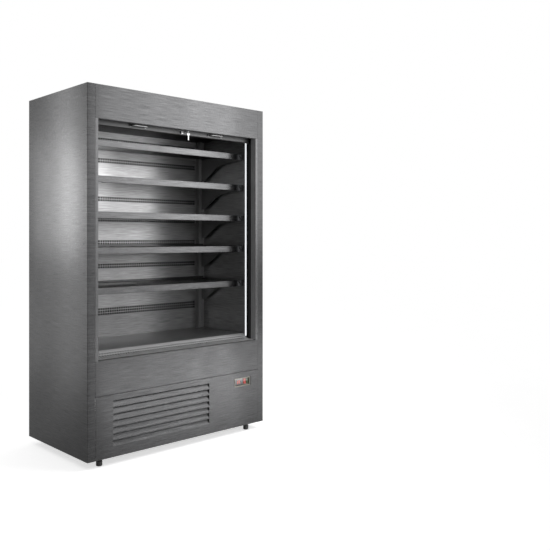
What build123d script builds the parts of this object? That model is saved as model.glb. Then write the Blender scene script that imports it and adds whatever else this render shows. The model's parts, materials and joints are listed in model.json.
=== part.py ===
from build123d import *
from math import pi
import os

# Open-front refrigerated display cabinet with a roller shutter.
# Millimetres. X runs to the right, the open front faces -Y, Z is up.
# The origin lies on the floor, under the middle of the cabinet.

# ---- Cabinet ----
width = 1220.0
depth = 690.0
height = 2000.0
leg_height = 45.0
side_thickness = 45.0
roof_thickness = 40.0
back_thickness = 45.0
sheet = 1.2
seat_gap = 0.3
past = 1.0  # how far a cut reaches past the face it opens
touch = 0.01  # edges this near to a plane count as lying in it
edge_radius = 2.0
bend_share = 0.9

# ---- Fronts: heights above the floor ----
split_z = 376.0
split_gap = 1.6
sill_z = 561.0
header_height = 178.0
header_lip = 20.0
panel_flange = 12.0

# ---- Insulated tub under the deck ----
tub_thickness = 40.0
tub_front_thickness = 38.0
tub_lift = 4.0

# ---- Display space ----
deck_z = 590.0
deck_set_back = 141.0
duct_space = 110.0
duct_tuck = 30.0
ceiling_drop = 148.0
ceiling_set_back = 213.0
honeycomb_depth = 60.0
honeycomb_height = 20.0
honeycomb_cells = 30
honeycomb_rows = 2
honeycomb_wall = 2.0
honeycomb_flange = 4.0
honeycomb_front_gap = 8.0

# ---- Back panel perforation ----
band_shares = (0.1449, 0.3617, 0.4741, 0.584, 0.6809, 0.8637, 0.9597)
band_height = 28.0
band_end_gap = 50.0
band_slots = 20
band_bar = 8.0

# ---- Shelves, brackets and uprights ----
first_shelf_share = 0.2858
slots_in_opening = 53
shelf_steps = (0, 9, 17, 25, 33)
shelf_end_gap = 10.0
shelf_set_back = 130.0
shelf_rear_gap = 40.0
shelf_sheet = 1.0
shelf_band = 37.0
shelf_fold = 20.0
shelf_rear_lip = 12.0
notch_top_inset = 42.0
notch_bottom_inset = 14.0
notch_width = 7.0
notch_reach = 1.5
notch_bottom_rise = 3.0
rail_inset = 68.0
rail_height = 31.0
rail_thickness = 2.0
rail_lip = 3.0
rail_lip_root = 2.0
rail_web = 0.8
upright_width = 43.0
upright_end_gap = 2.0
upright_depth = 35.0
upright_sheet = 2.0
slot_inset = 20.0
slot_width = 4.0
slot_height = 15.0
slots_below_first = 12
slots_above_first = 37
bracket_thickness = 2.5
bracket_depth = 144.0
bracket_knee = 175.0
bracket_knee_drop = 58.0
bracket_heel = 35.0
bracket_toe = 25.0
bracket_toe_drop = 34.0
hook_drop = 25.0
hook_steps = (0, 4)
hook_height = 10.0
hook_nose = 4.0
hook_reach = 7.0

# ---- Return-air grille ----
grille_lift = 5.0
grille_flat = 83.0
grille_rows_flat = 3
grille_rows_slope = 2
grille_columns = 22
grille_slot_depth = 8.0
grille_margin = 12.0
grille_bar = 6.0
grille_front_gap = 4.0
grille_bend_margin = 4.0
grille_rear_margin = 6.0
grille_mitre_share = 1.6

# ---- Shutter guides and light strips ----
guide_width = 16.7
guide_front_depth = 43.0
guide_channel = 40.0
guide_web = 3.7
guide_lip = 3.0
guide_wall = 1.6
guide_above_header = 23.0
groove_shares = (0.25, 0.6)
groove_depth = 1.0
groove_width = 4.0
light_depth = 17.7
light_corner = 3.0
light_above_sill = 18.0
light_below_header = 15.0

# ---- Roller shutter ----
slat_set_back = 77.0
slat_thickness = 8.0
slat_bevel = 3.0
slat_step_share = 0.5
slat_pitch = 38.5
slat_end_play = 3.0
roll_layer_play = 1.5
slat_slit = 1.0
core_wall = 3.0
roll_above_header = 66.0
roll_radius = 64.0
drum_radius = 30.0
drum_wall = 3.0
drum_end_wall = 4.0
stub_end_gap = 1.0
stub_radius = 8.0
bearing_clearance = 0.05
end_plate_thickness = 4.7
end_plate_corner = 12.0
bar_below_header = 20.0
bar_height = 59.0
bar_depth = 21.0
bar_wall = 2.0
bar_groove_shares = (0.42, 0.62)
bar_groove_depth = 0.8
bar_groove_width = 3.0
bar_top_bevel = 6.0
seal_height = 2.7
seal_inset = 3.0
seal_bevel = 2.0
handle_inset = 295.0
handle_width = 100.0
handle_rise = 14.0
handle_rod = 4.0
handle_reach = 24.0
handle_bend = 9.0
handle_flange = 3.0
handle_flange_thickness = 2.0
lock_x = 24.0
lock_rise = 10.0
barrel_radius = 7.5
barrel_reach = 8.0
barrel_depth = 7.0
barrel_flange = 1.0
barrel_flange_thickness = 2.0
plug_radius = 5.5
plug_depth = 12.0
cam_width = 10.0
cam_thickness = 3.0
cam_reach = 25.0
key_thickness = 2.4
key_shank_width = 7.0
key_bow_radius = 9.0
key_reach = 66.0
key_hole_radius = 2.5
key_hole_inset = 5.5
ring_radius = 7.2
ring_wire = 0.8
spare_key_length = 44.0
spare_key_gap = 0.5
spare_key_rim = 3.0
spare_key_hole_radius = 2.2
spare_key_hole_drop = 0.7
blade_tip = 4.0
blade_back_tip = 2.0

# ---- Louvres ----
louvre_count = 7
louvre_pitch = 35.0
louvre_window = 30.0
louvre_rise = 26.0
louvre_set_back = 13.0
louvre_left_inset = 105.0
louvre_right_inset = 384.0
louvre_bottom_z = 103.0

# ---- Control panel ----
bezel_inset = 190.0
bezel_width = 124.0
bezel_bottom_z = 290.0
bezel_height = 51.0
bezel_rim = 4.0
bezel_proud = 2.0
bezel_recess = 12.0
bezel_wall = 2.0
bezel_corner = 4.0
bezel_hole_play = 0.5
bezel_skin = 0.5
display_width = 70.0
display_depth = 30.0
display_edge = 1.0
display_proud = 2.0
display_corner = 1.2
rocker_width = 18.0
rocker_height = 32.0
rocker_space = 3.0
rocker_clearance = 0.4
rocker_tilt = 8.0
rocker_depth = 12.0
rocker_dip = 2.0
rocker_root_share = 0.6
rocker_pivot_depth = 1.0
end_cap_width = 14.0
end_cap_proud = 5.0
end_cap_overhang = 2.0

# ---- Base frame and feet ----
frame_height = 35.0
frame_beam = 64.0
frame_wall = 2.5
foot_inset_x = 52.0
foot_inset_y = 53.0
foot_radius = 16.5
foot_pad = 28.0
foot_pad_edge = 3.0
foot_nut_radius = 12.0
foot_nut_height = 12.0
stem_radius = 6.0
stem_clearance = 0.05
stem_share = 0.8

# ---- Refrigeration ----
fan_blades = 5
coil_fins = 18
coil_tube_radius = 5.0
coil_tubes = 3
coil_tube_overhang = 20.0
coil_header_wall = 2.0
coil_plate = 2.0
fin_thickness = 1.0
condenser_end_inset = 20.0
condenser_set_back = 45.0
condenser_depth = 60.0
condenser_height = 250.0
condenser_rise = 10.0
shroud_depth = 50.0
condenser_fan_radius = 105.0
condenser_fan_rise = 6.0
fan_tip_gap = 4.0
motor_radius = 28.0
motor_length = 50.0
motor_gap = 2.0
motor_arms = 3
arm_root = 6.0
arm_overhang = 8.0
arm_thickness = 3.0
arm_width = 12.0
leg_offset = 6.0
leg_thickness = 4.0
shaft_radius = 4.0
shaft_clearance = 0.05
hub_radius = 20.0
blade_depth = 26.0
blade_root = 6.0
blade_thickness = 2.0
blade_width_share = 0.62
blade_tilt = 28.0
evaporator_end_gap = 85.0
evaporator_rear_gap = 65.0
evaporator_depth = 240.0
evaporator_height = 130.0
evaporator_rise = 12.0
fan_plate_set_back = 44.0
evaporator_fan_inset = 295.0
evaporator_fan_radius = 58.0
compressor_inset_x = 235.0
compressor_inset_y = 245.0
compressor_radius = 85.0
compressor_height = 190.0
compressor_lift = 12.0
compressor_shoulder = 34.0
compressor_crown = 9.0
compressor_foot_share = 0.75
compressor_top_share = 0.72
compressor_crown_share = 0.3
seam_reach = 4.0
seam_shares = (0.5, 0.56)
mount_plate_z = 9.0
mount_plate_thickness = 4.0
mount_shares = (0.8, 0.62)
mount_pad_radius = 11.0
mount_pad_height = 10.0
terminal_box_sink = 12.0
terminal_box_reach = 24.0
terminal_box_width = 60.0
terminal_box_shares = (0.3, 0.72)
control_box_width = 180.0
control_box_depth = 70.0
control_box_height = 110.0
control_box_set_back = 55.0
control_box_corner = 4.0
vent_slots = 14
vent_slot_height = 6.0
vent_place_share = 0.46
vent_reach_share = 0.28
vent_margin = 70.0
gland_inset = 85.0
gland_z = 130.0
gland_radius = 11.0
gland_thread = 14.0
gland_thread_share = 0.7
gland_profile = ((1.0, 0.3), (0.92, 0.45), (0.92, 0.7), (0.6, 1.0), (0.35, 1.0), (0.3, 0.6), (0.0, 0.6))

# ---- Planes that several pieces share ----
inner_x = width / 2 - side_thickness
fit_x = inner_x - seat_gap
front_y = -depth / 2
back_y = depth / 2
skin_y = front_y + sheet
behind_skin_y = skin_y + seat_gap
back_inner_y = back_y - back_thickness
header_z = height - header_height
ceiling_z = height - ceiling_drop
ceiling_front_y = front_y + ceiling_set_back
deck_front_y = front_y + deck_set_back
duct_y = back_y - duct_space
opening_height = ceiling_z - sill_z
band_heights_z = [sill_z + share * opening_height for share in band_shares]
band_half_width = inner_x - band_end_gap
roof_z = height - roof_thickness
tub_z = split_z + tub_lift
tub_floor_z = tub_z + tub_thickness
tub_front_y = behind_skin_y + tub_front_thickness
frame_z = leg_height + sheet + seat_gap
base_top_z = frame_z + frame_height + sheet
slot_pitch = opening_height / slots_in_opening
first_shelf_z = sill_z + first_shelf_share * opening_height
shelf_levels = [first_shelf_z + step * slot_pitch for step in shelf_steps]
shelf_half_width = inner_x - shelf_end_gap
shelf_front_y = front_y + shelf_set_back
shelf_back_y = duct_y - shelf_rear_gap
notch_top_x = shelf_half_width - notch_top_inset
notch_bottom_x = shelf_half_width - notch_bottom_inset
rail_half_width = shelf_half_width - rail_inset
upright_outer_x = inner_x - upright_end_gap
upright_inner_x = upright_outer_x - upright_width
upright_front_y = duct_y - upright_depth
slot_x = inner_x - slot_inset
bracket_knee_y = upright_front_y - bracket_knee
bracket_heel_y = upright_front_y - bracket_heel
bracket_toe_y = shelf_front_y + bracket_toe
grille_bend_y = front_y + grille_flat
guide_top_z = header_z + guide_above_header
light_bottom_z = sill_z + light_above_sill
light_top_z = header_z - light_below_header
guide_x = fit_x - guide_width
channel_front_y = front_y + guide_front_depth
channel_back_y = channel_front_y + guide_channel
slat_y = front_y + slat_set_back
roll_y = slat_y + roll_radius - slat_thickness / 2
roll_z = header_z + roll_above_header
bar_bottom_z = header_z - bar_below_header
handle_x = inner_x - handle_inset
slat_half_length = guide_x + guide_width - guide_web - slat_end_play
bar_back_y = slat_y + slat_thickness / 2
bar_front_y = bar_back_y - bar_depth
lock_z = bar_bottom_z + lock_rise
ring_y = bar_front_y - key_reach
ring_front_y = ring_y - ring_radius - ring_wire
roll_layer = slat_thickness + roll_layer_play
slats_per_turn = round(2 * pi * (roll_radius - roll_layer / 2) / slat_pitch)
louvre_left_x = louvre_left_inset - inner_x
louvre_right_x = inner_x - louvre_right_inset
bezel_left_x = inner_x - bezel_inset
foot_x = inner_x - foot_inset_x
foot_y = back_y - foot_inset_y
condenser_left_x = louvre_left_x + condenser_end_inset
condenser_right_x = louvre_right_x - condenser_end_inset
condenser_front_y = front_y + condenser_set_back
evaporator_half_width = inner_x - evaporator_end_gap
evaporator_back_y = duct_y - evaporator_rear_gap
evaporator_front_y = evaporator_back_y - evaporator_depth
fan_plate_y = deck_front_y + fan_plate_set_back
evaporator_fan_x = inner_x - evaporator_fan_inset
compressor_x = inner_x - compressor_inset_x
compressor_y = back_y - compressor_inset_y
gland_x = inner_x - gland_inset
face_seat_y = front_y - seat_gap / 3


def slab(x0, x1, y0, y1, z0, z1):
    """Rectangular block between two corners."""
    return Pos((x0 + x1) / 2, (y0 + y1) / 2, (z0 + z1) / 2) * Box(x1 - x0, y1 - y0, z1 - z0)


def across(points, x0, x1):
    """Outline of (y, z) points, drawn out along X."""
    return extrude(Plane.YZ.offset(x0) * make_face(Polyline(*points, close=True)), x1 - x0)


def upward(points, z0, z1):
    """Outline of (x, y) points, drawn up along Z."""
    return extrude(Plane.XY.offset(z0) * make_face(Polyline(*points, close=True)), z1 - z0)


def inward(points, y0, y1):
    """Outline of (x, z) points, drawn back along Y."""
    return extrude(Plane.XZ.offset(-y0) * make_face(Polyline(*points, close=True)), y0 - y1)


def rod_x(radius, x0, x1, y, z):
    return Pos((x0 + x1) / 2, y, z) * Rot(0, 90, 0) * Cylinder(radius, x1 - x0)


def rod_y(radius, x, y0, y1, z):
    return Pos(x, (y0 + y1) / 2, z) * Rot(90, 0, 0) * Cylinder(radius, y1 - y0)


def rod_z(radius, x, y, z0, z1):
    return Pos(x, y, (z0 + z1) / 2) * Cylinder(radius, z1 - z0)


def mirrored(shape):
    return mirror(shape, about=Plane.YZ)


def spread(count, low, high):
    """Centres of equal steps between two limits."""
    step = (high - low) / count
    return [low + step * (i + 0.5) for i in range(count)]


def fuse(shapes):
    joined = shapes[0]
    for shape in shapes[1:]:
        joined = joined + shape
    return joined


# ---- Insulated casings: closed sheet boxes with foam inside ----

def casing(x0, x1, y0, y1, z0, z1):
    outer = slab(x0, x1, y0, y1, z0, z1)
    return outer - slab(x0 + sheet, x1 - sheet, y0 + sheet, y1 - sheet, z0 + sheet, z1 - sheet)


def casing_foam(x0, x1, y0, y1, z0, z1):
    inset = sheet + seat_gap
    return slab(x0 + inset, x1 - inset, y0 + inset, y1 - inset, z0 + inset, z1 - inset)


def side_limits():
    return (inner_x, width / 2, front_y, back_y, leg_height, height)


def back_limits():
    return (-fit_x, fit_x, back_inner_y, back_y, split_z, roof_z - seat_gap)


def roof_limits():
    return (-fit_x, fit_x, behind_skin_y, back_y, roof_z, height)


def side_panel():
    shell = casing(*side_limits())
    rounded = [e for e in shell.edges().filter_by(Axis.Z) if abs(abs(e.center().Y) - depth / 2) < touch]
    return fillet(rounded, edge_radius)


def tub_outline(inset):
    rear_y = back_inner_y - seat_gap - inset
    top_z = sill_z - sheet - seat_gap - inset
    return [(behind_skin_y + inset, tub_z + inset), (rear_y, tub_z + inset),
            (rear_y, tub_floor_z - inset), (tub_front_y - inset, tub_floor_z - inset),
            (tub_front_y - inset, top_z), (behind_skin_y + inset, top_z)]


def tub():
    return across(tub_outline(0), -fit_x, fit_x) - across(tub_outline(sheet), sheet - fit_x, fit_x - sheet)


def insulation():
    inset = sheet + seat_gap
    side = casing_foam(*side_limits())
    lower = across(tub_outline(inset), inset - fit_x, fit_x - inset)
    return [side, mirrored(side), casing_foam(*back_limits()), casing_foam(*roof_limits()), lower]


# ---- Front sheets ----

def header_panel():
    panel = across([(front_y, header_z), (front_y + header_lip, header_z),
                    (front_y + header_lip, header_z + sheet), (skin_y, header_z + sheet),
                    (skin_y, height), (front_y, height)], -fit_x, fit_x)
    return round_front_edge(panel, header_z)


def round_front_edge(panel, z):
    """Bend radius along a front sheet's folded edge."""
    edges = [e for e in panel.edges().filter_by(Axis.X)
             if abs(e.center().Y - front_y) < touch and abs(e.center().Z - z) < touch]
    return fillet(edges, sheet * bend_share)


def fascia_panel():
    low = split_z + split_gap / 2
    panel = across([(front_y, low), (front_y + panel_flange, low), (front_y + panel_flange, low + sheet),
                    (skin_y, low + sheet), (skin_y, sill_z - sheet), (front_y + header_lip, sill_z - sheet),
                    (front_y + header_lip, sill_z), (front_y, sill_z)], -fit_x, fit_x)
    return round_front_edge(round_front_edge(panel, sill_z), low)


def louvre_panel():
    top = split_z - split_gap / 2
    flange_y = front_y + panel_flange
    panel = across([(front_y, leg_height), (flange_y, leg_height), (flange_y, leg_height + sheet),
                    (skin_y, leg_height + sheet), (skin_y, top - sheet), (flange_y, top - sheet),
                    (flange_y, top), (front_y, top)], -fit_x, fit_x)
    panel = round_front_edge(round_front_edge(panel, top), leg_height)
    for i in range(louvre_count):
        z = louvre_bottom_z + i * louvre_pitch
        panel = panel - slab(louvre_left_x, louvre_right_x, front_y - past, skin_y + past, z, z + louvre_window)
        blade = across([(front_y, z - sheet), (skin_y, z - sheet), (skin_y, z),
                        (skin_y + louvre_set_back, z + louvre_rise),
                        (skin_y + louvre_set_back - sheet, z + louvre_rise), (front_y, z)],
                       louvre_left_x, louvre_right_x)
        panel = panel + blade
    hole = bezel_rim - bezel_wall - bezel_hole_play
    return panel - slab(bezel_left_x + hole, bezel_left_x + bezel_width - hole, front_y - past, skin_y + past,
                        bezel_bottom_z + hole, bezel_bottom_z + bezel_height - hole)


# ---- Base frame and feet ----

def base_frame():
    low, high = frame_z, frame_z + frame_height
    x, y = fit_x, back_y - sheet - seat_gap
    ring = slab(-x, x, -y, y, low, high) - slab(frame_beam - x, x - frame_beam, frame_beam - y,
                                                y - frame_beam, low, high)
    w = frame_wall
    core = slab(w - x, x - w, w - y, y - w, low + w, high - w)
    core = core - slab(frame_beam - w - x, x - frame_beam + w, frame_beam - w - y, y - frame_beam + w, low, high)
    frame = ring - core + slab(-x, x, -y, y, high, high + sheet)
    for fx in (-foot_x, foot_x):
        for fy in (-foot_y, foot_y):
            frame = frame - rod_z(stem_radius + stem_clearance, fx, fy, low - past, low + w + past)
    return frame


def foot(x, y):
    """Levelling foot: tall round pad, neck, lock nut and screwed stem."""
    nut_z = frame_z - seat_gap - foot_nut_height
    stem_top_z = frame_z + frame_height * stem_share
    outline = Polyline((0, 0), (foot_radius - foot_pad_edge, 0), (foot_radius, foot_pad_edge),
                       (foot_radius, foot_pad - foot_pad_edge), (foot_radius - foot_pad_edge, foot_pad),
                       (stem_radius, foot_pad), (stem_radius, stem_top_z), (0, stem_top_z), close=True)
    turned = revolve(Plane.XZ * make_face(outline), Axis.Z)
    nut = Pos(0, 0, nut_z) * extrude(RegularPolygon(foot_nut_radius, 6), foot_nut_height)
    return Pos(x, y, 0) * (turned + nut)


# ---- Display space ----

def duct_panel():
    panel = slab(-fit_x, fit_x, duct_y, duct_y + sheet, deck_z - duct_tuck, ceiling_z - seat_gap)
    step = 2 * band_half_width / band_slots
    for z in band_heights_z:
        for x in spread(band_slots, -band_half_width, band_half_width):
            panel = panel - slab(x - step / 2 + band_bar / 2, x + step / 2 - band_bar / 2,
                                 duct_y - past, duct_y + sheet + past, z - band_height / 2, z + band_height / 2)
    return panel


def canopy():
    ceiling = slab(-fit_x, fit_x, ceiling_front_y, duct_y + sheet, ceiling_z, ceiling_z + sheet)
    wall = slab(-fit_x, fit_x, ceiling_front_y - sheet, ceiling_front_y, ceiling_z, roof_z - seat_gap)
    y0, y1 = honeycomb_limits()
    gap = seat_gap
    hole = slab(-shelf_half_width - gap, shelf_half_width + gap, y0 - gap, y1 + gap,
                ceiling_z - past, ceiling_z + sheet + past)
    return ceiling + wall - hole


def honeycomb_limits():
    y0 = ceiling_front_y + honeycomb_front_gap
    return y0, y0 + honeycomb_depth


def air_honeycomb():
    y0, y1 = honeycomb_limits()
    wall, rim = honeycomb_wall, honeycomb_flange
    flange_z = ceiling_z + sheet + seat_gap
    block = slab(-shelf_half_width, shelf_half_width, y0, y1, ceiling_z, ceiling_z + honeycomb_height)
    block = block + slab(-shelf_half_width - rim, shelf_half_width + rim, y0 - rim, y1 + rim,
                         flange_z, flange_z + wall)
    half_x = shelf_half_width / honeycomb_cells - wall
    half_y = honeycomb_depth / honeycomb_rows / 2 - wall
    for x in spread(honeycomb_cells, -shelf_half_width, shelf_half_width):
        for y in spread(honeycomb_rows, y0, y1):
            block = block - slab(x - half_x, x + half_x, y - half_y, y + half_y,
                                 ceiling_z - past, ceiling_z + honeycomb_height + past)
    return block


def base_deck():
    y0, y1 = deck_front_y, duct_y - seat_gap
    top = slab(-upright_outer_x, upright_outer_x, y0, y1, deck_z - sheet, deck_z)
    front_fold = slab(-upright_outer_x, upright_outer_x, y0, y0 + sheet, deck_z - shelf_fold, deck_z)
    rear_fold = slab(-upright_outer_x, upright_outer_x, y1 - sheet, y1, deck_z - shelf_fold, deck_z)
    return top + front_fold + rear_fold


def grille_outline():
    front = front_y + grille_front_gap
    flat_z = sill_z + grille_lift
    rear = deck_front_y - seat_gap
    return [(front, sill_z + seat_gap), (front + sheet, sill_z + seat_gap), (front + sheet, flat_z - sheet),
            (grille_bend_y, flat_z - sheet), (rear - sheet, deck_z - sheet * grille_mitre_share),
            (rear - sheet, deck_z - shelf_fold), (rear, deck_z - shelf_fold), (rear, deck_z),
            (rear - sheet, deck_z), (grille_bend_y, flat_z), (front, flat_z)]


def return_grille():
    """Perforated sheet from the sill up to the deck, notched round the guides."""
    grille = across(grille_outline(), -fit_x, fit_x)
    light_back_y = channel_back_y + guide_lip + seat_gap + light_depth
    for side in (-1, 1):
        x0, x1 = sorted((side * (guide_x - seat_gap), side * (fit_x + past)))
        grille = grille - slab(x0, x1, front_y, light_back_y + seat_gap, sill_z, deck_z + past)
    half = guide_x - grille_margin
    slot_half = half / grille_columns - grille_bar / 2
    rows = spread(grille_rows_flat, front_y + grille_margin, grille_bend_y)
    rows += spread(grille_rows_slope, grille_bend_y + grille_bend_margin, deck_front_y - grille_rear_margin)
    for y in rows:
        for x in spread(grille_columns, -half, half):
            grille = grille - slab(x - slot_half, x + slot_half, y - grille_slot_depth / 2,
                                   y + grille_slot_depth / 2, sill_z, deck_z + past)
    return grille


def upright():
    """Slotted channel, open to the back, for the right-hand side."""
    x0, x1, y0, y1, w = upright_inner_x, upright_outer_x, upright_front_y, duct_y - seat_gap, upright_sheet
    channel = upward([(x0, y1), (x0, y0), (x1, y0), (x1, y1), (x1 - w, y1), (x1 - w, y0 + w),
                      (x0 + w, y0 + w), (x0 + w, y1)], deck_z + seat_gap, ceiling_z - seat_gap)
    for n in range(-slots_below_first, slots_above_first):
        z = first_shelf_z - hook_drop + n * slot_pitch
        channel = channel - slab(slot_x - slot_width / 2, slot_x + slot_width / 2, y0 - past, y0 + w + past,
                                 z - slot_height / 2, z + slot_height / 2)
    return channel


def shelf(z):
    """Folded tray with a deep front band, slit on a slant at both ends."""
    w, x, y0, y1 = shelf_sheet, shelf_half_width, shelf_front_y, shelf_back_y
    band_z = z - shelf_band
    tray = across([(y0, z), (y0, band_z), (y0 + shelf_rear_lip, band_z), (y0 + shelf_rear_lip, band_z + w),
                   (y0 + w, band_z + w), (y0 + w, z - w), (y1, z - w), (y1, z + shelf_rear_lip),
                   (y1 - w, z + shelf_rear_lip), (y1 - w, z)], -x, x)
    bends = [e for e in tray.edges().filter_by(Axis.X)
             if abs(e.center().Y - y0) < touch and min(abs(e.center().Z - z), abs(e.center().Z - band_z)) < touch]
    tray = fillet(bends, w * bend_share)
    side = slab(x - w, x, y0 + shelf_rear_lip, y1, z - shelf_fold, z)
    slit_z = band_z + notch_bottom_rise
    slit = inward([(notch_top_x, z + past), (notch_top_x + notch_width, z + past),
                   (notch_bottom_x + notch_width, slit_z), (notch_bottom_x, slit_z)], y0 - past, y0 + notch_reach)
    return tray + side + mirrored(side) - slit - mirrored(slit)


def price_rail(z):
    """Channel for price strips, clipped on the shelf's front band."""
    middle = z - shelf_band / 2
    low, high = middle - rail_height / 2, middle + rail_height / 2
    y1 = shelf_front_y - seat_gap
    y0 = y1 - rail_thickness
    web_y = y1 - rail_web
    return across([(y1, low), (y1, high), (y0, high), (y0, high - rail_lip), (web_y, high - rail_lip_root),
                   (web_y, low + rail_lip_root), (y0, low + rail_lip), (y0, low)], -rail_half_width, rail_half_width)


def bracket(z):
    """Right-hand cantilever bracket, hooked in the upright's slots."""
    top = z - shelf_sheet - seat_gap
    rear = upright_front_y - seat_gap
    x0, x1 = slot_x - bracket_thickness / 2, slot_x + bracket_thickness / 2
    arm = across([(bracket_toe_y, top), (rear, top), (rear, z - bracket_depth), (bracket_heel_y, z - bracket_depth),
                  (bracket_knee_y, z - bracket_knee_drop), (bracket_toe_y, z - bracket_toe_drop)], x0, x1)
    nose_y = upright_front_y + upright_sheet + seat_gap
    for step in hook_steps:
        hook_z = z - hook_drop - step * slot_pitch
        low, high = hook_z - hook_height / 2, hook_z + hook_height / 2
        end = upright_front_y + hook_reach
        arm = arm + across([(rear - past, low), (nose_y, low), (nose_y, low - hook_nose), (end, low - hook_nose),
                            (end, high), (rear - past, high)], x0, x1)
    return arm


# ---- Guides and lights ----

def guide():
    """Right-hand shutter guide: hollow front post, channel for the slats and a rear lip."""
    x0, x1 = guide_x, fit_x
    web = x1 - guide_web
    lip_y = channel_back_y + guide_lip
    outline = [(x1, front_y), (x0, front_y)]
    for share in groove_shares:
        y = front_y + guide_front_depth * share
        outline += [(x0, y), (x0 + groove_depth, y), (x0 + groove_depth, y + groove_width), (x0, y + groove_width)]
    outline += [(x0, channel_front_y), (web, channel_front_y), (web, channel_back_y), (x0, channel_back_y),
                (x0, lip_y), (x1, lip_y)]
    w = guide_wall
    post = upward(outline, sill_z + seat_gap, guide_top_z)
    post = post - slab(x0 + groove_depth + w, x1 - w, front_y + w, channel_front_y - w, sill_z, guide_top_z)
    return post - slab(x0 - past, x1 + past, front_y - past, channel_front_y - seat_gap,
                       header_z - seat_gap, guide_top_z + past)


def light_strip():
    """Right-hand light: a shallow housing whose lens bulges into the cabinet."""
    y0 = channel_back_y + guide_lip + seat_gap
    y1 = y0 + light_depth
    x0 = guide_x + seat_gap
    c = light_corner
    profile = [(fit_x, y0), (x0 + c, y0), (x0, y0 + c), (x0, y1 - c), (x0 + c, y1), (fit_x, y1)]
    return upward(profile, light_bottom_z, light_top_z)


# ---- Roller shutter ----

def roll_sector(r0, r1, start, end, x0, x1):
    """Part of a ring round the roll's axis; angles run from +Y towards +Z."""
    ring = CenterArc((0, 0), r1, start, end - start)
    if r0 > 0:
        inner = CenterArc((0, 0), r0, start, end - start)
        outline = ring + Line(ring @ 1, inner @ 1) + inner + Line(inner @ 0, ring @ 0)
    else:
        outline = ring + Line(ring @ 1, (0, 0)) + Line((0, 0), ring @ 0)
    return Pos(0, roll_y, roll_z) * extrude(Plane.YZ.offset(x0) * make_face(outline), x1 - x0)


def wound_slats():
    """The outer turn of slats on a hollow core that stands for the turns beneath."""
    step = 360 / slats_per_turn
    x = slat_half_length
    core = []
    slats = []
    for i in range(slats_per_turn):
        outer = roll_radius - roll_layer * i / slats_per_turn
        inner = outer - slat_thickness
        end = 180 - step * i
        slats.append(roll_sector(inner, outer, end - step + slat_slit, end, -x, x))
        core.append(roll_sector(0, inner - seat_gap, end - step, end, -x, x))
    bore_radius = drum_radius + seat_gap
    cavity_radius = roll_radius - roll_layer - slat_thickness - core_wall
    cavity = rod_x(cavity_radius, core_wall - x, x - core_wall, roll_y, roll_z)
    cavity = cavity - rod_x(bore_radius + core_wall, core_wall - x, x - core_wall, roll_y, roll_z)
    return [fuse(core) - cavity - rod_x(bore_radius, -x, x, roll_y, roll_z)] + slats


def roller_drum():
    tube = rod_x(drum_radius, -guide_x, guide_x, roll_y, roll_z)
    hollow_end = guide_x - drum_end_wall
    stub = rod_x(stub_radius, hollow_end, fit_x - stub_end_gap, roll_y, roll_z)
    return tube - rod_x(drum_radius - drum_wall, -hollow_end, hollow_end, roll_y, roll_z) + stub + mirrored(stub)


def roller_end_plate():
    """Right-hand bearing plate on the side panel."""
    half = roll_y - channel_back_y - guide_lip - seat_gap
    plate = slab(fit_x - end_plate_thickness, fit_x, roll_y - half, roll_y + half, roll_z - half, roll_z + half)
    plate = fillet(plate.edges().filter_by(Axis.X), end_plate_corner)
    return plate - rod_x(stub_radius + bearing_clearance, fit_x - end_plate_thickness - past, fit_x + past,
                         roll_y, roll_z)


def slat_outline(y, z0, z1):
    """One slat in section: a curved face in front, a step behind."""
    half = slat_thickness / 2
    step_y = y - half * slat_step_share
    return [(y - half, z0 + slat_bevel), (step_y, z0), (y + half, z0), (y + half, z1), (step_y, z1),
            (y - half, z1 - slat_bevel)]


def curtain():
    """The stretch between the roll and the bar, which grows as the shutter closes."""
    low = bar_bottom_z + bar_height + seat_gap
    return across(slat_outline(slat_y, low, roll_z - seat_gap), -slat_half_length, slat_half_length)


def bottom_bar():
    """Hollow extrusion with two shallow grooves along its face."""
    y0, y1, z0, w = bar_front_y, bar_back_y, bar_bottom_z, bar_wall
    z1 = z0 + bar_height
    groove_y = y0 + bar_groove_depth
    face = [(y0, z0)]
    for share in bar_groove_shares:
        low, high = z0 + bar_height * share, z0 + bar_height * share + bar_groove_width
        face += [(y0, low), (groove_y, low + bar_groove_depth), (groove_y, high - bar_groove_depth), (y0, high)]
    face += [(y0, z1 - bar_top_bevel), (y0 + bar_top_bevel, z1), (y1, z1), (y1, z0)]
    end = slat_half_length
    hollow = slab(-end - past, end + past, groove_y + w, y1 - w, z0 + w, z1 - bar_top_bevel - w / 2)
    lock_hole = rod_y(barrel_radius + seat_gap, lock_x, y0 - past, groove_y + w + past, lock_z)
    return across(face, -end, end) - hollow - lock_hole


def bar_seal():
    z1 = bar_bottom_z - seat_gap
    z0 = z1 - seal_height
    y0, y1 = bar_front_y + seal_inset, bar_back_y - seal_inset
    return across([(y0 + seal_bevel, z0), (y1 - seal_bevel, z0), (y1, z1), (y0, z1)],
                  -slat_half_length, slat_half_length)


def bar_handle(x):
    """Round D-handle with two flanges on the bar's face."""
    z = bar_bottom_z + handle_rise
    half = handle_width / 2 - handle_rod
    y0 = bar_front_y - seat_gap
    y1 = y0 - handle_reach
    path = FilletPolyline((x - half, y0, z), (x - half, y1, z), (x + half, y1, z), (x + half, y0, z),
                          radius=handle_bend)
    rod = sweep(Plane(origin=path @ 0, z_dir=path % 0) * Circle(handle_rod), path=path)
    for end in (x - half, x + half):
        rod = rod + rod_y(handle_rod + handle_flange, end, y0 - handle_flange_thickness, y0, z)
    return rod


def lock_barrel():
    flange_y = bar_front_y - seat_gap
    y0, y1 = bar_front_y - barrel_reach, bar_front_y + barrel_depth
    barrel = rod_y(barrel_radius, lock_x, y0, y1, lock_z)
    flange = rod_y(barrel_radius + barrel_flange, lock_x, flange_y - barrel_flange_thickness, flange_y, lock_z)
    return barrel + flange - rod_y(plug_radius + bearing_clearance, lock_x, y0 - past, y1 + past, lock_z)


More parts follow.
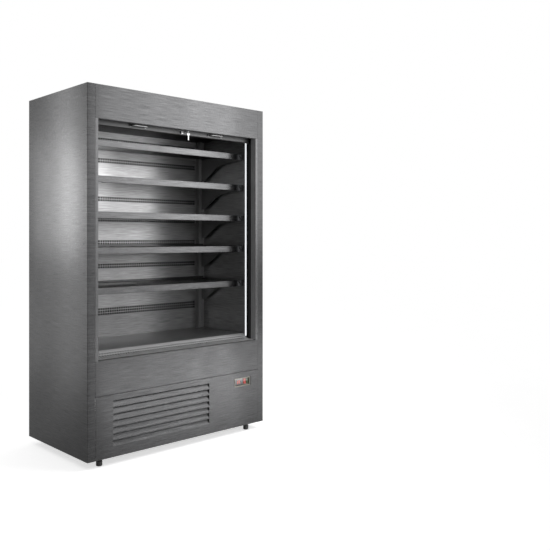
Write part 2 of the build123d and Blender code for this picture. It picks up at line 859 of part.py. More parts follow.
def ring_centre_z():
    """Height at which the ring passes just over the key's bow."""
    return lock_z + key_thickness / 2 + 2 * ring_wire - ring_radius


def lock_key():
    """Turning plug with its cam, the key in it and the key ring."""
    y_face = bar_front_y - barrel_reach
    end_y = bar_front_y + plug_depth
    plug = rod_y(plug_radius, lock_x, y_face, end_y, lock_z)
    cam = slab(lock_x - cam_width / 2, lock_x + cam_width / 2, end_y - cam_thickness, end_y,
               lock_z, lock_z + cam_reach)
    z0, z1 = lock_z - key_thickness / 2, lock_z + key_thickness / 2
    bow_y = ring_y + key_bow_radius
    bow = Pos(lock_x, bow_y, lock_z) * Cylinder(key_bow_radius, key_thickness)
    shank = slab(lock_x - key_shank_width / 2, lock_x + key_shank_width / 2, bow_y, y_face + past, z0, z1)
    hole = rod_z(key_hole_radius, lock_x, ring_y + key_hole_inset, z0 - past, z1 + past)
    ring = Pos(lock_x, ring_y, ring_centre_z()) * Rot(0, 90, 0) * Torus(ring_radius, ring_wire)
    return [plug + cam + bow + shank - hole, ring]


def spare_key():
    """Second key, hanging from the ring."""
    hang_z = ring_centre_z() - ring_radius
    half = key_thickness / 2
    top = hang_z + ring_wire + spare_key_gap + spare_key_rim
    bow_z = top - key_bow_radius
    bow = rod_y(key_bow_radius, lock_x, ring_y - half, ring_y + half, bow_z)
    tip = top - spare_key_length
    w = key_shank_width / 2
    blade = inward([(lock_x - w, bow_z), (lock_x - w, tip + blade_tip), (lock_x, tip),
                    (lock_x + w, tip + blade_back_tip), (lock_x + w, bow_z)], ring_y - half, ring_y + half)
    hole = rod_y(spare_key_hole_radius, lock_x, ring_y - half - past, ring_y + half + past,
                 hang_z - spare_key_hole_drop)
    return bow + blade - hole


# ---- Control panel ----

def control_limits():
    """Edges of the bezel's opening: left, right, low, high."""
    return (bezel_left_x + bezel_rim, bezel_left_x + bezel_width - bezel_rim,
            bezel_bottom_z + bezel_rim, bezel_bottom_z + bezel_height - bezel_rim)


def rocker_centres():
    right = control_limits()[1]
    first = right - rocker_space - rocker_width * 1.5 - rocker_space
    return first, first + rocker_width + rocker_space


def control_bezel():
    x0, x1, z0, z1 = control_limits()
    w = bezel_wall
    proud_y = front_y - bezel_proud
    floor_y = proud_y + bezel_recess
    rim = slab(bezel_left_x, bezel_left_x + bezel_width, proud_y, face_seat_y,
               bezel_bottom_z, bezel_bottom_z + bezel_height)
    rim = fillet(rim.edges().filter_by(Axis.Y), bezel_corner)
    well = slab(x0 - w, x1 + w, proud_y + bezel_skin, floor_y + w, z0 - w, z1 + w)
    bezel = rim + well - slab(x0, x1, proud_y - past, floor_y, z0, z1)
    cut_y0, cut_y1 = floor_y - past, floor_y + w + past
    edge = display_edge
    bezel = bezel - slab(x0 + edge, x0 + display_width, cut_y0, cut_y1, z0 + edge, z1 - edge)
    middle = (z0 + z1) / 2
    half_w = rocker_width / 2 + rocker_clearance
    half_h = rocker_height / 2 + rocker_clearance
    for x in rocker_centres():
        bezel = bezel - slab(x - half_w, x + half_w, cut_y0, cut_y1, middle - half_h, middle + half_h)
    return bezel


def panel_end_cap():
    """Black cover strip at the right-hand end of the control panel."""
    x0 = bezel_left_x + bezel_width + seat_gap
    cap = slab(x0, x0 + end_cap_width, front_y - end_cap_proud, face_seat_y,
               bezel_bottom_z - end_cap_overhang, bezel_bottom_z + bezel_height + end_cap_overhang)
    return fillet(cap.edges().filter_by(Axis.Z).sort_by(Axis.Y)[:2], end_cap_proud / 2)


def control_display():
    x0, _, z0, z1 = control_limits()
    face_y = front_y - bezel_proud + bezel_recess - display_proud
    edge = display_edge + seat_gap
    body = slab(x0 + edge, x0 + display_width - seat_gap, face_y, face_y + display_depth, z0 + edge, z1 - edge)
    front_edges = [e for e in body.edges() if abs(e.center().Y - face_y) < touch]
    return fillet(front_edges, display_corner)


def rocker(x):
    """Rocker with a shallow V in its face, resting with its lower half pressed."""
    _, _, z0, z1 = control_limits()
    middle = (z0 + z1) / 2
    half = rocker_height / 2
    pivot_y = rocker_pivot_y()
    root_half = half * rocker_root_share
    face, root_y = pivot_y - rocker_depth / 2, pivot_y + rocker_depth / 2
    body = across([(face, middle - half), (face + rocker_dip, middle), (face, middle + half),
                   (root_y, middle + root_half), (root_y, middle - root_half)],
                  x - rocker_width / 2, x + rocker_width / 2)
    return body.rotate(Axis((x, pivot_y, middle), (1, 0, 0)), -rocker_tilt)


def rocker_pivot_y():
    return front_y - bezel_proud + bezel_recess + rocker_pivot_depth


# ---- Refrigeration ----

def finned_coil(x0, x1, y0, y1, z0, z1, foot_z):
    """Fins between two end plates on straight tubes, with a header pipe at each end."""
    fins = [slab(x - fin_thickness / 2, x + fin_thickness / 2, y0, y1, z0, z1) for x in spread(coil_fins, x0, x1)]
    for x in (x0, x1 - coil_plate):
        fins.append(slab(x, x + coil_plate, y0, y1, foot_z, z1))
    coil = fuse(fins)
    middle = (y0 + y1) / 2
    left_x, right_x = x0 - coil_tube_overhang, x1 + coil_tube_overhang
    for z in spread(coil_tubes, z0, z1):
        coil = coil + rod_x(coil_tube_radius, left_x, right_x, middle, z)
    for x in (left_x, right_x):
        coil = coil + rod_z(coil_tube_radius + coil_header_wall, x, middle, z0, z1)
    return coil


def condenser_coil():
    z0 = base_top_z + seat_gap
    return finned_coil(condenser_left_x, condenser_right_x, condenser_front_y,
                       condenser_front_y + condenser_depth, z0 + condenser_rise, z0 + condenser_height, z0)


def evaporator_coil():
    z0 = tub_floor_z + seat_gap
    return finned_coil(-evaporator_half_width, evaporator_half_width, evaporator_front_y, evaporator_back_y,
                       z0 + evaporator_rise, z0 + evaporator_height, z0)


def condenser_fan_place():
    x = (condenser_left_x + condenser_right_x) / 2
    y = condenser_front_y + condenser_depth + seat_gap + shroud_depth - blade_depth / 2 + fan_tip_gap
    return x, y, base_top_z + condenser_height / 2 + condenser_fan_rise


def condenser_shroud():
    """Box between the coil and the fan, with the fan's round opening in its rear wall."""
    y0 = condenser_front_y + condenser_depth + seat_gap
    y1 = y0 + shroud_depth
    z0, z1 = base_top_z + seat_gap, base_top_z + condenser_height
    box = slab(condenser_left_x, condenser_right_x, y0, y1, z0, z1)
    box = box - slab(condenser_left_x + sheet, condenser_right_x - sheet, y0 - past, y1 - sheet,
                     z0 + sheet, z1 - sheet)
    x, _, z = condenser_fan_place()
    return box - rod_y(condenser_fan_radius + fan_tip_gap, x, y1 - sheet - past, y1 + past, z)


def fan(radius, x, y, z):
    """Hub with sloping blades, turning about Y."""
    hub = rod_y(hub_radius, x, y - blade_depth / 2, y + blade_depth / 2, z)
    wheel = hub
    for i in range(fan_blades):
        reach = radius - hub_radius + blade_root
        blade = Box(reach, blade_thickness, radius * blade_width_share)
        blade = Pos(hub_radius - blade_root + reach / 2, 0, 0) * Rot(blade_tilt, 0, 0) * blade
        wheel = wheel + Pos(x, y, z) * Rot(0, 360 / fan_blades * i, 0) * blade
    trimmed = wheel & rod_y(radius, x, y - blade_depth / 2, y + blade_depth / 2, z)
    return trimmed - rod_y(shaft_radius + shaft_clearance, x, y - blade_depth, y + blade_depth, z)


def evaporator_fan_place(side):
    low, high = tub_floor_z, deck_z - sheet
    return side * evaporator_fan_x, fan_plate_y, (low + high) / 2


def evaporator_fan_plate():
    z0, z1 = tub_floor_z + seat_gap, deck_z - sheet - seat_gap
    plate = slab(-fit_x, fit_x, fan_plate_y, fan_plate_y + sheet, z0, z1)
    for side in (-1, 1):
        x, _, z = evaporator_fan_place(side)
        plate = plate - rod_y(evaporator_fan_radius + fan_tip_gap, x,
                              fan_plate_y - past, fan_plate_y + sheet + past, z)
    return plate


def motor(x, y, z, mount_y, reach):
    """Motor behind a fan, its shaft in the hub, with three arms out to the plate round the fan."""
    start = y + blade_depth / 2 + motor_gap
    body = rod_y(motor_radius, x, start, start + motor_length, z)
    body = body + rod_y(shaft_radius, x, y - blade_depth / 2 + motor_gap, start + past, z)
    arm_start, arm_end = motor_radius - arm_root, reach + arm_overhang
    arm = Pos((arm_start + arm_end) / 2, 0, 0) * Box(arm_end - arm_start, arm_thickness, arm_width)
    leg_length = start + 1.5 * arm_thickness - mount_y - seat_gap
    leg = Pos(reach + leg_offset, (arm_thickness - leg_length) / 2, 0) * Box(leg_thickness, leg_length, arm_width)
    for i in range(motor_arms):
        body = body + Pos(x, start + arm_thickness, z) * Rot(0, 360 / motor_arms * i + 90, 0) * (arm + leg)
    return body


def fan_motors():
    x, y, z = condenser_fan_place()
    shroud_y = condenser_front_y + condenser_depth + seat_gap + shroud_depth
    motors = [motor(x, y, z, shroud_y, condenser_fan_radius + fan_tip_gap)]
    for side in (-1, 1):
        fx, fy, fz = evaporator_fan_place(side)
        motors.append(motor(fx, fy, fz, fan_plate_y + sheet, evaporator_fan_radius + fan_tip_gap))
    return motors


def compressor():
    """Welded shell with a domed top and bottom seam, on a foot plate with pads."""
    r, h = compressor_radius, compressor_height
    seam_low, seam_high = (share * h for share in seam_shares)
    outline = Polyline((0, compressor_lift), (r * compressor_foot_share, compressor_lift), (r, compressor_shoulder),
                       (r, seam_low), (r + seam_reach, seam_low), (r + seam_reach, seam_high), (r, seam_high),
                       (r, h - compressor_shoulder), (r * compressor_top_share, h - compressor_crown),
                       (r * compressor_crown_share, h), (0, h), close=True)
    shell = revolve(Plane.XZ * make_face(outline), Axis.Z)
    mount_x, mount_y = (share * r for share in mount_shares)
    plate = slab(-r, r, -mount_x, mount_x, mount_plate_z, mount_plate_z + mount_plate_thickness)
    for x in (-mount_x, mount_x):
        for y in (-mount_y, mount_y):
            plate = plate + rod_z(mount_pad_radius, x, y, 0, mount_pad_height)
    low, high = terminal_box_shares
    box = slab(r - terminal_box_sink, r + terminal_box_reach, -terminal_box_width / 2, terminal_box_width / 2,
               h * low, h * high)
    return Pos(compressor_x, compressor_y, base_top_z + seat_gap) * (shell + plate + box)


def control_box():
    """Wiring box on the right side panel, behind the control panel."""
    x1 = fit_x
    y0 = front_y + control_box_set_back
    z0 = bezel_bottom_z + bezel_height / 2 - control_box_height / 2
    box = slab(x1 - control_box_width, x1, y0, y0 + control_box_depth, z0, z0 + control_box_height)
    return fillet(box.edges().filter_by(Axis.Z), control_box_corner)


def rear_vent_panel():
    y0 = back_y - sheet
    z1 = split_z - seat_gap
    panel = slab(-fit_x, fit_x, y0, back_y, leg_height, z1)
    flange = slab(-fit_x, fit_x, back_y - panel_flange, back_y, z1 - sheet, z1)
    panel = panel + flange
    for side in (-1, 1):
        x = side * fit_x * vent_place_share
        reach = fit_x * vent_reach_share
        for z in spread(vent_slots, leg_height + vent_margin, z1 - vent_margin):
            panel = panel - slab(x - reach, x + reach, y0 - past, back_y + past,
                                 z - vent_slot_height / 2, z + vent_slot_height / 2)
    return panel - rod_y(gland_radius * gland_thread_share + seat_gap, gland_x, y0 - past, back_y + past, gland_z)


def cable_gland():
    """Mains entry: a threaded body through the sheet and a ribbed dome nut outside."""
    r = gland_radius
    y = back_y + seat_gap
    reach = -ring_front_y - y
    thread = r * gland_thread_share
    nut = [(r * out, reach * along) for out, along in gland_profile]
    outline = Polyline((0, -gland_thread), (thread, -gland_thread), (thread, 0), (r, 0), *nut, close=True)
    return Pos(gland_x, y, gland_z) * revolve(make_face(outline), Axis.Y)


def pair(shape):
    return [shape, mirrored(shape)]


def build_parts():
    side = side_panel()
    post = upright()
    rail = guide()
    light = light_strip()
    red_x, green_x = rocker_centres()
    parts = {
        "side_panel_right": side,
        "side_panel_left": mirrored(side),
        "back_panel": casing(*back_limits()),
        "top_panel": casing(*roof_limits()),
        "tub": tub(),
        "insulation": insulation(),
        "base_frame": base_frame(),
        "header_panel": header_panel(),
        "fascia_panel": fascia_panel(),
        "louvre_panel": louvre_panel(),
        "rear_vent_panel": rear_vent_panel(),
        "cable_gland": cable_gland(),
        "duct_panel": duct_panel(),
        "canopy": canopy(),
        "air_honeycomb": air_honeycomb(),
        "base_deck": base_deck(),
        "return_grille": return_grille(),
        "upright_right": post,
        "upright_left": mirrored(post),
        "price_rails": [price_rail(z) for z in shelf_levels],
        "shelf_brackets": [arm for z in shelf_levels for arm in pair(bracket(z))],
        "guide_right": rail,
        "guide_left": mirrored(rail),
        "light_strip_right": light,
        "light_strip_left": mirrored(light),
        "roller_end_plates": pair(roller_end_plate()),
        "roller_drum": roller_drum(),
        "wound_slats": wound_slats(),
        "curtain": curtain(),
        "bottom_bar": bottom_bar(),
        "bar_seal": bar_seal(),
        "bar_handles": [bar_handle(-handle_x), bar_handle(handle_x)],
        "lock_barrel": lock_barrel(),
        "lock_key": lock_key(),
        "spare_key": spare_key(),
        "control_bezel": control_bezel(),
        "panel_end_cap": panel_end_cap(),
        "control_display": control_display(),
        "rocker_red": rocker(red_x),
        "rocker_green": rocker(green_x),
        "condenser_coil": condenser_coil(),
        "condenser_shroud": condenser_shroud(),
        "condenser_fan": fan(condenser_fan_radius, *condenser_fan_place()),
        "evaporator_coil": evaporator_coil(),
        "evaporator_fan_plate": evaporator_fan_plate(),
        "evaporator_fan_left": fan(evaporator_fan_radius, *evaporator_fan_place(-1)),
        "evaporator_fan_right": fan(evaporator_fan_radius, *evaporator_fan_place(1)),
        "fan_motors": fan_motors(),
        "compressor": compressor(),
        "control_box": control_box(),
    }
    for number, z in enumerate(shelf_levels, 1):
        parts[f"shelf_{number}"] = shelf(z)
    places = {"front_left": (-1, -1), "front_right": (1, -1), "rear_left": (-1, 1), "rear_right": (1, 1)}
    for name, (sx, sy) in places.items():
        parts[f"foot_{name}"] = foot(sx * foot_x, sy * foot_y)
    return parts


def solids_of(shape):
    if isinstance(shape, list):
        return [solid for piece in shape for solid in piece.solids()]
    return list(shape.solids())


if __name__ == "__main__":
    os.makedirs("parts", exist_ok=True)
    for name, shape in build_parts().items():
        solids = solids_of(shape)
        export_step(Compound(children=solids) if len(solids) > 1 else solids[0], f"parts/{name}.step")
        print(name, len(solids))
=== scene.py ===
"""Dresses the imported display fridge: finishes, fine sheet work, roller shutter, lamps and camera."""

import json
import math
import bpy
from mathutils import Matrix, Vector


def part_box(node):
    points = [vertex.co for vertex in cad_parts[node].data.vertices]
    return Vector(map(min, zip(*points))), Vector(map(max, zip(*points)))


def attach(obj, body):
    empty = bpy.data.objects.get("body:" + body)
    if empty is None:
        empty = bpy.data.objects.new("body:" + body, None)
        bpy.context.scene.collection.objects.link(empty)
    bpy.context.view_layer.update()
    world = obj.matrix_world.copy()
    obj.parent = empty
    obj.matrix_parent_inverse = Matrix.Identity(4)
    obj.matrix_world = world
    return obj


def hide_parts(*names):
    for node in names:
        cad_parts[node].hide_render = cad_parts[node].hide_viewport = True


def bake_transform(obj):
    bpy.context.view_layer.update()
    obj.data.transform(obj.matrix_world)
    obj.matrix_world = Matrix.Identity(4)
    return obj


bl_info = {
    "name": "Display fridge dresser",
    "version": (1, 0, 0),
    "blender": (4, 5, 0),
    "location": "View3D > Sidebar > Display fridge",
    "description": "Finishes and fine detail for an open multideck display fridge",
    "category": "Object",
}

import bmesh
import bpy
from bpy.props import FloatProperty, FloatVectorProperty, PointerProperty
from bpy.types import Operator, Panel, PropertyGroup
from mathutils import Vector

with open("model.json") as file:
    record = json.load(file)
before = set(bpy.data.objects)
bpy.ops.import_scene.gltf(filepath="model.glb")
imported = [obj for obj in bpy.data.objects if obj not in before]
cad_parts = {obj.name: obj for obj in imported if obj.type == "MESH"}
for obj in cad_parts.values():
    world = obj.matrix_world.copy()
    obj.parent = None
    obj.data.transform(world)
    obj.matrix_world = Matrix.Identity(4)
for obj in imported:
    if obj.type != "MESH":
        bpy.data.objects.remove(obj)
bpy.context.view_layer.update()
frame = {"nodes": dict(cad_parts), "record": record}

SAME_PLACE = 1e-6  # metres within which two places count as one
CREASE_ANGLE = 30.0  # degrees above which the edge between two faces looks sharp
LINING_X = 0.5655  # the side panels' inner faces lie inside this
LINING_FRONT_Y = -0.3425  # and behind this
LINING_LOW_Z = 0.56  # and above this
# Painted shade: the guides are darkened inside their slots for the slats.
SLOT_FRONT_Y = -0.302  # the guides' dark slots for the slats lie behind this
PANEL_FRONT_Y = 0.22  # the perforated panel lies behind this
DUCT_END_Y = 0.302  # the duct behind the perforated panel ends before this
LEVEL_NORMAL = 0.7  # a face whose normal's Z is above this counts as level
ACROSS_STROKES = 0.25  # turn, as a share of a circle, that stretches highlights across the strokes
STROKES_PER_METRE = (9.0, 330.0)  # changes along and across the brushing
HAIRLINES_PER_METRE = (30.0, 1300.0)  # the same for its finest lines
STROKE_PART, HAIRLINE_PART, CLOUD_PART = 0.6, 0.25, 0.15  # what each adds to the tone of brushed metal
HAIRLINE_DULLNESS = 0.04  # how far the finest lines raise and lower the roughness


def tint(name, description, colour):
    """A colour setting."""
    return FloatVectorProperty(
        name=name, description=description, default=colour, subtype="COLOR", size=3, min=0.0, max=1.0
    )


def length(name, description, metres):
    """A length setting in metres."""
    return FloatProperty(
        name=name, description=description, default=metres, unit="LENGTH", subtype="DISTANCE", min=0.0
    )


def share(name, description, value):
    """A setting between nothing and all."""
    return FloatProperty(
        name=name, description=description, default=value, subtype="FACTOR", min=0.0, max=1.0
    )


def power(name, description, watts):
    """A lamp power setting."""
    return FloatProperty(name=name, description=description, default=watts, unit="POWER", min=0.0)


class FinishSettings(PropertyGroup):
    """Colours and surface qualities."""

    steel: tint("Steel", "Brushed steel of the cabinet", (0.055, 0.055, 0.056))
    steel_roughness: share("Steel roughness", "How far the brushed steel blurs what it mirrors", 0.3)
    steel_edge: tint("Steel at a slant", "Tone of the brushed steel seen at a slant", (0.85, 0.85, 0.85))
    inner_steel: tint("Inner steel", "Sheet of the shelves and the lining", (0.2, 0.2, 0.202))
    inner_roughness: share("Inner roughness", "How far the inner sheet blurs what it mirrors", 0.33)
    brushing: share("Brushing", "How far the brush strokes vary in tone", 0.36)
    anisotropy: share("Anisotropy", "How far highlights stretch across the brush strokes", 0.9)
    inner_anisotropy: share("Inner anisotropy", "The same for the inner sheet", 0.45)
    casing: tint("Casing", "Galvanised sheet at the back, the roof and the base", (0.3, 0.305, 0.31))
    aluminium: tint("Aluminium", "Anodised guides and bottom bar", (0.36, 0.36, 0.365))
    grille: tint("Grille", "Perforated sheet of the return-air grille", (0.68, 0.68, 0.685))
    slats: tint("Slats", "Roller shutter slats", (0.12, 0.12, 0.122))
    chrome: tint("Chrome", "Handles, lock and keys", (0.2, 0.2, 0.2))
    light: tint("Light", "Colour of the light strips", (0.95, 0.98, 1.0))
    digits: tint("Digits", "Lit digits of the display", (0.8, 0.06, 0.015))


class SizeSettings(PropertyGroup):
    """Sizes of the fine work."""

    slat_pitch: length("Slat pitch", "Height of one shutter slat", 0.0332)
    duct_hole: length("Duct hole", "Side of a square hole in the back panel", 0.0122)
    duct_pitch: length("Duct pitch", "Spacing of the holes in the back panel", 0.016)
    grille_hole: length("Grille hole", "Width of a hole in the return grille", 0.0105)
    grille_pitch: length("Grille pitch", "Spacing of the holes in the return grille", 0.016)
    digit_height: length("Digit height", "Height of the display's digits", 0.016)


class StageSettings(PropertyGroup):
    """Lamps, floor and camera."""

    surround: share("Surround", "Light that the surroundings throw on the object", 0.5)
    front_lamp: power("Front lamps", "Each lamp of the bank that the front mirrors", 3.0)
    side_lamp: power("Side lamps", "Each main lamp that the left panel mirrors", 2.5)
    dim_share: share("Dim share", "Power of the left panel's dim lamps, as a share of a main lamp's", 0.35)
    inner_lamp: power("Inner lamp", "Soft lamp in front of the back wall", 1.0)
    floor: tint("Floor", "Pale studio floor", (0.8, 0.8, 0.8))
    focal_length: FloatProperty(
        name="Focal length", description="Of the camera, in millimetres", default=45.864, min=1.0
    )


class Wire:
    """An output socket on which Python's operators add Math nodes."""

    def __init__(self, graph, socket):
        self.graph = graph
        self.socket = socket

    def math(self, operation, *values):
        """A Math node of the given values."""
        return self.graph.node("ShaderNodeMath", {"operation": operation}, dict(enumerate(values)))

    def __add__(self, other):
        return self.math("ADD", self, other)

    def __radd__(self, other):
        return self.math("ADD", other, self)

    def __sub__(self, other):
        return self.math("SUBTRACT", self, other)

    def __rsub__(self, other):
        return self.math("SUBTRACT", other, self)

    def __mul__(self, other):
        return self.math("MULTIPLY", self, other)

    def __rmul__(self, other):
        return self.math("MULTIPLY", other, self)

    def __truediv__(self, other):
        return self.math("DIVIDE", self, other)

    def __mod__(self, other):
        return self.math("FLOORED_MODULO", self, other)

    def __gt__(self, other):
        return self.math("GREATER_THAN", self, other)

    def __lt__(self, other):
        return self.math("LESS_THAN", self, other)

    def __abs__(self):
        return self.math("ABSOLUTE", self)


class Graph:
    """A node tree that is being laid out."""

    def __init__(self, owner):
        owner.use_nodes = True
        self.owner = owner
        self.tree = owner.node_tree
        self.tree.nodes.clear()

    def node(self, kind, settings=None, inputs=None, output=0):
        """Adds a node: its settings first, then the values or links of its sockets."""
        made = self.tree.nodes.new(kind)
        for name, value in (settings or {}).items():
            setattr(made, name, value)
        for name, value in (inputs or {}).items():
            if isinstance(value, Wire):
                self.tree.links.new(value.socket, made.inputs[name])
            else:
                made.inputs[name].default_value = value
        return Wire(self, made.outputs[output]) if len(made.outputs) else None

    def blend(self, factor, first, second, how="MIX"):
        """A colour made of two colours."""
        settings = {"data_type": "RGBA", "blend_type": how}
        return self.node("ShaderNodeMix", settings, {0: factor, 6: first, 7: second}, 2)

    def uneven(self, factor, colour, spread):
        """A colour that gets darker and lighter by a share of itself."""
        return self.blend(factor, shaded(colour, 1.0 - spread), shaded(colour, 1.0 + spread))

    def ramp(self, value, low, high, start=0.0, end=1.0):
        """Goes from start to end while a value goes from low to high, and no further."""
        return self.node(
            "ShaderNodeMapRange",
            inputs={"Value": value, "From Min": low, "From Max": high, "To Min": start, "To Max": end},
        )

    def split(self, vector):
        """The three parts of a vector."""
        made = self.node("ShaderNodeSeparateXYZ", inputs={0: vector}).socket.node
        return [Wire(self, output) for output in made.outputs]

    def join(self, x, y, z):
        """A vector from its three parts."""
        return self.node("ShaderNodeCombineXYZ", inputs={0: x, 1: y, 2: z})

    def noise(self, place, scale, detail=2.0, dimensions="3D"):
        """Smooth noise from nothing to one."""
        return self.node(
            "ShaderNodeTexNoise",
            {"noise_dimensions": dimensions},
            {"Vector": place, "Scale": scale, "Detail": detail},
        )

    def bump(self, height, distance, strength):
        """A normal that follows a height in metres times distance."""
        return self.node(
            "ShaderNodeBump", inputs={"Height": height, "Distance": distance, "Strength": strength}
        )

    def rays(self, *kinds):
        """One for light rays of any of the given kinds and nothing for others."""
        outputs = self.node("ShaderNodeLightPath").socket.node.outputs
        found, *others = [Wire(self, outputs[kind]) for kind in kinds]
        for other in others:
            found = found.math("MAXIMUM", found, other)
        return found

    def principled(self, inputs):
        """The shader of every finish but the floor's."""
        return self.node("ShaderNodeBsdfPrincipled", inputs=inputs)

    def either(self, factor, first, second):
        """One shader where a factor is nothing and another where it is one."""
        return self.node("ShaderNodeMixShader", inputs={0: factor, 1: first, 2: second})

    def surface(self, shader):
        """Ends the tree with its output node, and gives back the material or world."""
        of_world = isinstance(self.owner, bpy.types.World)
        kind = "ShaderNodeOutputWorld" if of_world else "ShaderNodeOutputMaterial"
        self.node(kind, inputs={"Surface": shader})
        return self.owner


def opaque(colour):
    """A colour as four numbers, from one grey or three numbers."""
    if isinstance(colour, (int, float)):
        return (colour, colour, colour, 1.0)
    return (*tuple(colour)[:3], 1.0)


def shaded(colour, factor):
    """A colour made darker or lighter."""
    return opaque([min(1.0, part * factor) for part in tuple(colour)[:3]])


def place_of(graph):
    """Where a point is on its piece."""
    return graph.node("ShaderNodeTexCoord", output="Object")


def normal_of(graph):
    """The three parts of the direction in which a face looks."""
    return graph.split(graph.node("ShaderNodeNewGeometry", output="Normal"))


def brush_place(graph):
    """Coordinates that run along and across the brush strokes, which lie level on every face."""
    x, y, z = graph.split(place_of(graph))
    level = abs(normal_of(graph)[2]) > LEVEL_NORMAL
    along = x + y * (1.0 - level)
    across = z * (1.0 - level) + y * level
    return along, across


def waves(place, pitch):
    """One at each multiple of the pitch, nothing half-way between two, and even slopes between."""
    return abs((place / pitch) % 1.0 - 0.5) * 2.0


def brushed_shader(
    graph, colour, roughness, variation, anisotropy, edge=(1.0, 1.0, 1.0), metallic=1.0, painted_light=None
):
    """Metal with fine level brush strokes in its tone, roughness and relief. Painted light and shade, where
    given, multiply its tone.
    """
    along, across = brush_place(graph)
    strokes, hairlines = (
        graph.noise(graph.join(along * coarse, across * fine, 0.0), 1.0, detail, "2D")
        for (coarse, fine), detail in ((STROKES_PER_METRE, 3.0), (HAIRLINES_PER_METRE, 2.0))
    )
    cloud = graph.noise(place_of(graph), scale=1.7, detail=3.0)
    tone = strokes * STROKE_PART + hairlines * HAIRLINE_PART + cloud * CLOUD_PART
    base = graph.uneven(graph.ramp(tone, low=0.32, high=0.68), colour, variation)
    # Painted light and shade: the given factor multiplies the tone.
    if painted_light is not None:
        base = graph.blend(1.0, base, painted_light, "MULTIPLY")
    dull, bright = roughness + HAIRLINE_DULLNESS, roughness - HAIRLINE_DULLNESS
    return graph.principled(
        {
            "Base Color": base,
            "Metallic": metallic,
            "Roughness": graph.ramp(hairlines, low=0.3, high=0.7, start=bright, end=dull),
            "Anisotropic": anisotropy,
            "Anisotropic Rotation": ACROSS_STROKES,
            "Specular Tint": opaque(edge),
            "Normal": graph.bump(strokes, distance=0.00003, strength=0.5),
        }
    )


def brushed_metal(name, **quality):
    """A material of brushed metal."""
    graph = Graph(bpy.data.materials.new(name))
    return graph.surface(brushed_shader(graph, **quality))


def lined_steel(name, outer, inner):
    """Steel that is brushed one way outside the cabinet and another way on the faces that line it, which
    carry painted light and shade.
    """
    graph = Graph(bpy.data.materials.new(name))
    x, y, z = graph.split(place_of(graph))
    lining = (abs(x) < LINING_X) * (y > LINING_FRONT_Y) * (z > LINING_LOW_Z)
    # Painted light and shade: the lining gets lighter to the right, and its perforated panel near the top
    # as well.
    rightward = graph.ramp(x, low=-0.1, high=0.5, end=0.55)
    upward = graph.ramp(z, low=1.72, high=1.8, end=1.3)
    painted_light = (rightward + 1.0) * (upward * (y > PANEL_FRONT_Y) + 1.0)
    return graph.surface(
        graph.either(lining, brushed_shader(graph, **outer), brushed_shader(graph, **inner, painted_light=painted_light))
    )


def extruded(name, colour, metallic, roughness):
    """Satin sheet or extrusion, with fine draw lines that run up the piece."""
    graph = Graph(bpy.data.materials.new(name))
    x, y, z = graph.split(place_of(graph))
    across, along = 900.0, 3.0  # changes in each metre
    lines = graph.noise(graph.join(x * across, y * across, z * along), scale=1.0)
    return graph.surface(
        graph.principled(
            {
                "Base Color": graph.uneven(lines, colour, spread=0.25),
                "Metallic": metallic,
                "Roughness": roughness,
                "Normal": graph.bump(lines, distance=0.00005, strength=0.5),
            }
        )
    )


def guide_metal(name, outer, colour):
    """Shutter guide: brushed like the stiles in front, satin at its sides and painted with shade in the
    slats' slot.
    """
    graph = Graph(bpy.data.materials.new(name))
    _, y, z = graph.split(place_of(graph))
    facing_front = normal_of(graph)[1] < -LEVEL_NORMAL
    across, along = 160.0, 3.0  # changes in each metre
    lines = graph.noise(graph.join(0.0, y * across, z * along), scale=1.0)
    satin = graph.uneven(lines, colour, spread=0.3)
    side = graph.principled(
        {
            # Painted shade: the sides inside the slats' slot are darkened.
            "Base Color": graph.blend(y > SLOT_FRONT_Y, satin, shaded(colour, 0.15)),
            "Metallic": 0.5,
            "Roughness": 0.35,
        }
    )
    return graph.surface(graph.either(facing_front, side, brushed_shader(graph, **outer)))


def galvanised(name, colour, painted_shade_before_y=None):
    """Zinc-coated sheet with faint spangle. In front of the given y, where one is given, it is painted dark
    as shade.
    """
    graph = Graph(bpy.data.materials.new(name))
    place = place_of(graph)
    spangle = graph.node(
        "ShaderNodeTexVoronoi", {"feature": "F1"}, {"Vector": place, "Scale": 90.0}, "Color"
    )
    flake = graph.split(spangle)[0]
    flake_part = 0.35
    cloud = graph.noise(place, scale=4.0, detail=3.0)
    base = graph.uneven(flake * flake_part + cloud * (1.0 - flake_part), colour, spread=0.2)
    # Painted shade: the sheet in front of the given y is darkened.
    if painted_shade_before_y is not None:
        base = graph.blend(graph.split(place)[1] < painted_shade_before_y, base, shaded(colour, 0.04))
    return graph.surface(
        graph.principled(
            {
                "Base Color": base,
                "Metallic": 1.0,
                "Roughness": 0.36 + flake * 0.16,
                "Normal": graph.bump(cloud, distance=0.0001, strength=0.3),
            }
        )
    )


def smooth_metal(name, colour, roughness, wear=0.06):
    """Plated or polished metal with light handling marks."""
    graph = Graph(bpy.data.materials.new(name))
    place = place_of(graph)
    marks = graph.noise(place, scale=260.0, detail=4.0)
    cloud = graph.noise(place, scale=35.0)
    return graph.surface(
        graph.principled(
            {
                "Base Color": graph.uneven(cloud, colour, spread=0.08),
                "Metallic": 1.0,
                "Roughness": marks * wear + roughness,
            }
        )
    )


def moulded(name, colour, roughness, grain=500.0, relief=0.00004, coat=0.0):
    """Moulded plastic, rubber or paint: fine grain with a slightly uneven tone."""
    graph = Graph(bpy.data.materials.new(name))
    place = place_of(graph)
    fine = graph.noise(place, scale=grain, detail=3.0)
    cloud = graph.noise(place, scale=22.0)
    swing = 0.05  # of the roughness, each way
    return graph.surface(
        graph.principled(
            {
                "Base Color": graph.uneven(cloud, colour, spread=0.15),
                "Roughness": fine * (2.0 * swing) + (roughness - swing),
                "Coat Weight": coat,
                "Normal": graph.bump(fine, distance=relief, strength=0.5),
            }
        )
    )


